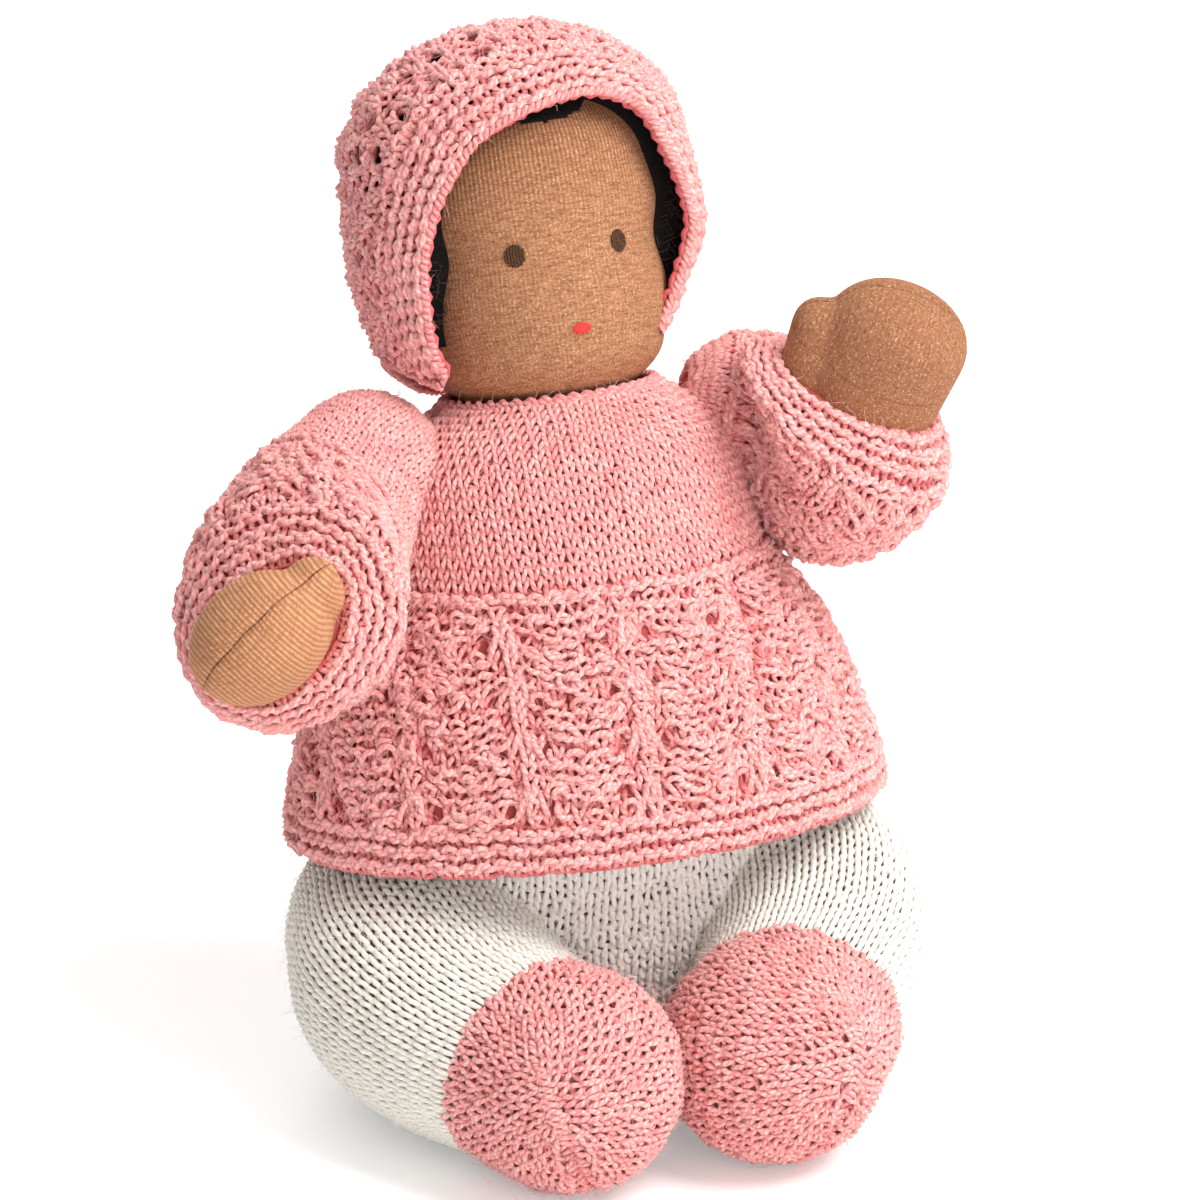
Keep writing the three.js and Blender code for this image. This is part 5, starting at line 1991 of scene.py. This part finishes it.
    def make_hair(self, point: Array, normal: Array) -> None:
        """Makes the black mohair between the face and the bonnet.

        Args:
            point: the middle of the face opening in the leaning frame.
            normal: the opening's outward direction there.
        """
        low = self.centre - 34
        sizes = [
            (s, w * self.half_width - self.hair_inset, d * self.half_depth - self.hair_inset)
            for s, w, d in self.shares
        ]
        spine = Spine([(self.shift, 0, self.centre + h) for h in (-self.drop, 0, self.dome_rise)])
        outline = Outline(spine, SIDEWAYS, sizes, 0, self.dome_depth - self.hair_inset, lean=self.lean)
        cap = OutlineSurface(outline).mesh("hair_ground", sides=80, rings=60)
        bm = bmesh.new()
        bm.from_mesh(cap.data)
        lean = self.lean.matrix()
        for vert in bm.verts:
            spot = lean.inverted() @ (vert.co / MM)
            spot.x -= float(self.drawn_in(np.array([spot]))[0])
            vert.co = (lean @ spot) * MM
        for spot, way in (
            (self.lean.points(point - normal * 9.0), self.lean.directions(normal)),
            (self.lean.points(np.array([0.0, 0.0, low])), self.lean.directions(-UPWARD)),
        ):
            cut = bmesh.ops.bisect_plane(bm, geom=bm.verts[:] + bm.edges[:] + bm.faces[:], dist=1e-6,
                                         plane_co=spot * MM, plane_no=way, clear_outer=True)
            edges = [e for e in cut["geom_cut"] if isinstance(e, bmesh.types.BMEdge)]
            bmesh.ops.holes_fill(bm, edges=edges)
        bm.to_mesh(cap.data)
        bm.free()
        self.dressing.dress(cap, BLACK_GROUND, "black_mohair", "head", "hair_cap")
        self.make_fringe()
        lines = self.curls(point, normal)
        cut = len(lines) * 3 // 4
        piece = strands("hair_curls", bare(lines[:cut]), 0.13, 0)
        self.dressing.dress(piece, BLACK_YARN, "black_mohair", "head")
        # The stray curls take the lighter copy of the mohair, a painted highlight.
        piece = strands("hair_strays", bare(lines[cut:]), 0.09, 0)
        self.dressing.dress(piece, LIT_STRAY_YARN, "black_mohair", "head")

    def make_fringe(self) -> None:
        """Makes the patch of mohair that lies on the forehead under the brim."""
        head = Head(self.dressing)
        skin = OutlineSurface(head.outline(), -0.6).mesh("hair_fringe", sides=240, rings=180)
        step = (0, self.lean.back - head.lean.back, self.lean.height - head.lean.height)
        inverse = self.lean.matrix().inverted() @ Matrix.Translation(step)
        bm = bmesh.new()
        bm.from_mesh(skin.data)
        gone = []
        for vert in bm.verts:
            spot = inverse @ (vert.co / MM)
            turn = math.degrees(math.atan2(spot.x, -spot.y))
            line = np.interp(turn, self.HAIRLINE[0], self.HAIRLINE[1]) + 0.35 * math.sin(turn * 0.6)
            if spot.z < line or abs(turn) > 60:
                gone.append(vert)
        bmesh.ops.delete(bm, geom=gone, context="VERTS")
        bmesh.ops.solidify(bm, geom=bm.faces[:], thickness=0.5 * MM)
        bm.to_mesh(skin.data)
        bm.free()
        self.dressing.dress(skin, BLACK_GROUND, "black_mohair", "head")

    def curls(self, point: Array, normal: Array) -> list[Array]:
        """Loose curling strands of mohair.

        Args:
            point: a point of the face opening in the leaning frame.
            normal: the opening's outward direction there.

        Returns:
            The strands.
        """
        r = rng(77)
        rise = risen(normal)
        lines = []
        while len(lines) < self.curl_count:
            turn = r.uniform(-2.4, 2.4)
            reach = r.uniform(0, 1)
            back = r.uniform(8.0, 15.0)
            middle = point - normal * back
            way = SIDEWAYS * math.sin(turn) + rise * math.cos(turn)
            wide = 34.5 + reach * 11
            base = middle + way * wide
            if base[2] < self.centre - 33 or not self.inside(base[None], 4.5)[0]:
                continue
            t = np.linspace(0, 1, 12)
            size, spin = r.uniform(1.2, 2.6), r.uniform(0, 2 * math.pi)
            along = unit(np.cross(way, normal)) * r.choice([-1, 1])
            run = r.uniform(5, 11)
            curl = (
                base
                + along * (t * run)[:, None]
                + way * (size * np.sin(t * 9 + spin))[:, None] * 0.5
                + normal * (size * np.cos(t * 9 + spin))[:, None] * 0.8
            )
            lines.append(self.lean.points(curl))
        return lines


def chain(path: Array, out: Array, way: Array) -> list[Array]:
    """A bound-off chain laid along a path.

    Args:
        path: close points along it.
        out: outward directions at them.
        way: the direction in which the edge faces.

    Returns:
        Two lines that loop round each other.
    """
    far = np.concatenate([[0], np.cumsum(np.linalg.norm(np.diff(path, axis=0), axis=1))])
    count = int(far[-1] / 0.55)
    spots = np.linspace(0, far[-1], count)
    p = np.stack([np.interp(spots, far, path[:, c]) for c in range(3)], axis=1)
    n = np.stack([np.interp(spots, far, out[:, c]) for c in range(3)], axis=1)
    phase = spots / 3.9 * 2 * math.pi
    lines = []
    for shift in (0.0, math.pi):
        wave = np.sin(phase + shift)[:, None]
        lift = np.cos(phase + shift)[:, None]
        lines.append(p + n * (0.45 + wave * 0.75) + way * (0.4 + lift * 0.6))
    return lines


@dataclass
class Studio:
    """Floor, lamps, world and camera."""

    aim: tuple = (6.1, 5.0, 133.0)
    azimuth: float = -20
    elevation: float = 25
    distance: float = 12000
    view_width: float = 324

    def build(self) -> None:
        """Sets up the floor, light and camera."""
        a, e = math.radians(self.azimuth), math.radians(self.elevation)
        back = np.array([math.sin(a) * math.cos(e), -math.cos(a) * math.cos(e), math.sin(e)])
        camera = added("camera", bpy.data.cameras.new("camera"))
        camera.data.lens = 36 * self.distance / self.view_width
        camera.location = (np.array(self.aim) + back * self.distance) * MM
        camera.rotation_euler = Vector(-back).to_track_quat("-Z", "Y").to_euler()
        camera.data.clip_end = 40
        bpy.context.scene.camera = camera
        self.make_floor()
        self.make_light("key", (0.6, -0.6, 1.35), 0.9, 24.0)
        self.make_light("fill", (0.1, -1.5, 0.35), 1.0, 9.5)
        self.make_light("rim", (0.3, 1.1, 0.9), 1.0, 7.0)
        self.make_world()
        bpy.context.scene.view_settings.view_transform = "Standard"

    def make_floor(self) -> None:
        """A white floor that keeps the doll's shadow."""
        bm = bmesh.new()
        bmesh.ops.create_grid(bm, x_segments=1, y_segments=1, size=6)
        floor = finished(bm, "floor")
        made, hand = blank_material("floor_white")
        where = hand.add("ShaderNodeTexCoord").outputs["Object"]
        tone = hand.mix(hand.noise(where, 3.0), colour(250, 250, 249), colour(254, 254, 254))
        shader = hand.add("ShaderNodeBsdfPrincipled", {"Base Color": tone, "Roughness": 1.0, "Specular IOR Level": 0.0})
        path = hand.add("ShaderNodeLightPath").outputs["Is Camera Ray"]
        glow = hand.add("ShaderNodeEmission", {0: colour(255, 255, 255), 1: hand.math("MULTIPLY", path, 0.27)})
        both = hand.add("ShaderNodeAddShader", {0: shader.outputs[0], 1: glow.outputs[0]})
        hand.add("ShaderNodeOutputMaterial", {0: both.outputs[0]})
        floor.data.materials.append(made)

    def make_light(self, name: str, place: tuple, size: float, power: float) -> None:
        """A soft square lamp aimed at the doll."""
        data = bpy.data.lights.new(name, "AREA")
        data.energy = power
        data.size = size
        lamp = added(name, data)
        lamp.location = place
        lamp.rotation_euler = (Vector((0, 0, 0.13)) - Vector(place)).to_track_quat("-Z", "Y").to_euler()

    def make_world(self) -> None:
        """A white surrounding, plain to the camera and softer as light."""
        world = bpy.data.worlds.new("studio")
        bpy.context.scene.world = world
        world.use_nodes = True
        hand = Nodes(world.node_tree)
        world.node_tree.nodes.clear()
        path = hand.add("ShaderNodeLightPath")
        seen = hand.math("MAXIMUM", path.outputs["Is Camera Ray"], path.outputs["Is Glossy Ray"])
        strength = hand.range(seen, 0, 1, 0.55, 1.0)
        ground = hand.add("ShaderNodeBackground", {0: colour(255, 255, 255), 1: strength})
        hand.add("ShaderNodeOutputWorld", {0: ground.outputs[0]})


def main() -> None:
    """Builds the doll piece by piece."""
    logging.basicConfig(level=logging.INFO, format="%(message)s", stream=sys.stdout)
    dressing = Dressing(SharedEffects())
    Studio().build()
    sweater = Sweater(dressing)
    sweater_bulk = sweater.build()
    body = Pants(dressing, sweater).build()
    for word, sign, reach, forward in (("right", -1, 31, 74), ("left", 1, 26.8, 75.5)):
        Leg(dressing, word, sign, reach, forward).build(body, sweater)
    Arm(dressing, "right", -1, ArmPose(35, 42, 68, -18, 68, -22, 28, -2, 33, 27, 231)).build(sweater_bulk)
    # The left hand wears the shaded copy of the jersey, a painted shade.
    left = ArmPose(31, 43, 72, -15, 43, -46, 45, 68, 60, 66, 280, 0.3, 0.22, (-3.0, 1.0, 2.0), SHADED_JERSEY)
    Arm(dressing, "left", 1, left).build(sweater_bulk)
    Head(dressing).build()
    Bonnet(dressing).build()
    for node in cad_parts.values():
        if not node.hide_render:
            node.data.materials.clear()
            # Kept bonnet nodes take the dark rose of the painted shade; the rest take black mohair.
            finish = PINK_PAINTED_SHADE if "bonnet" in node.name else BLACK_GROUND
            node.data.materials.append(dressing.made.setdefault(finish.name, finish.material(dressing.shared)))
            log.info("kept %s", node.name)


if __name__ == "__main__":
    main()
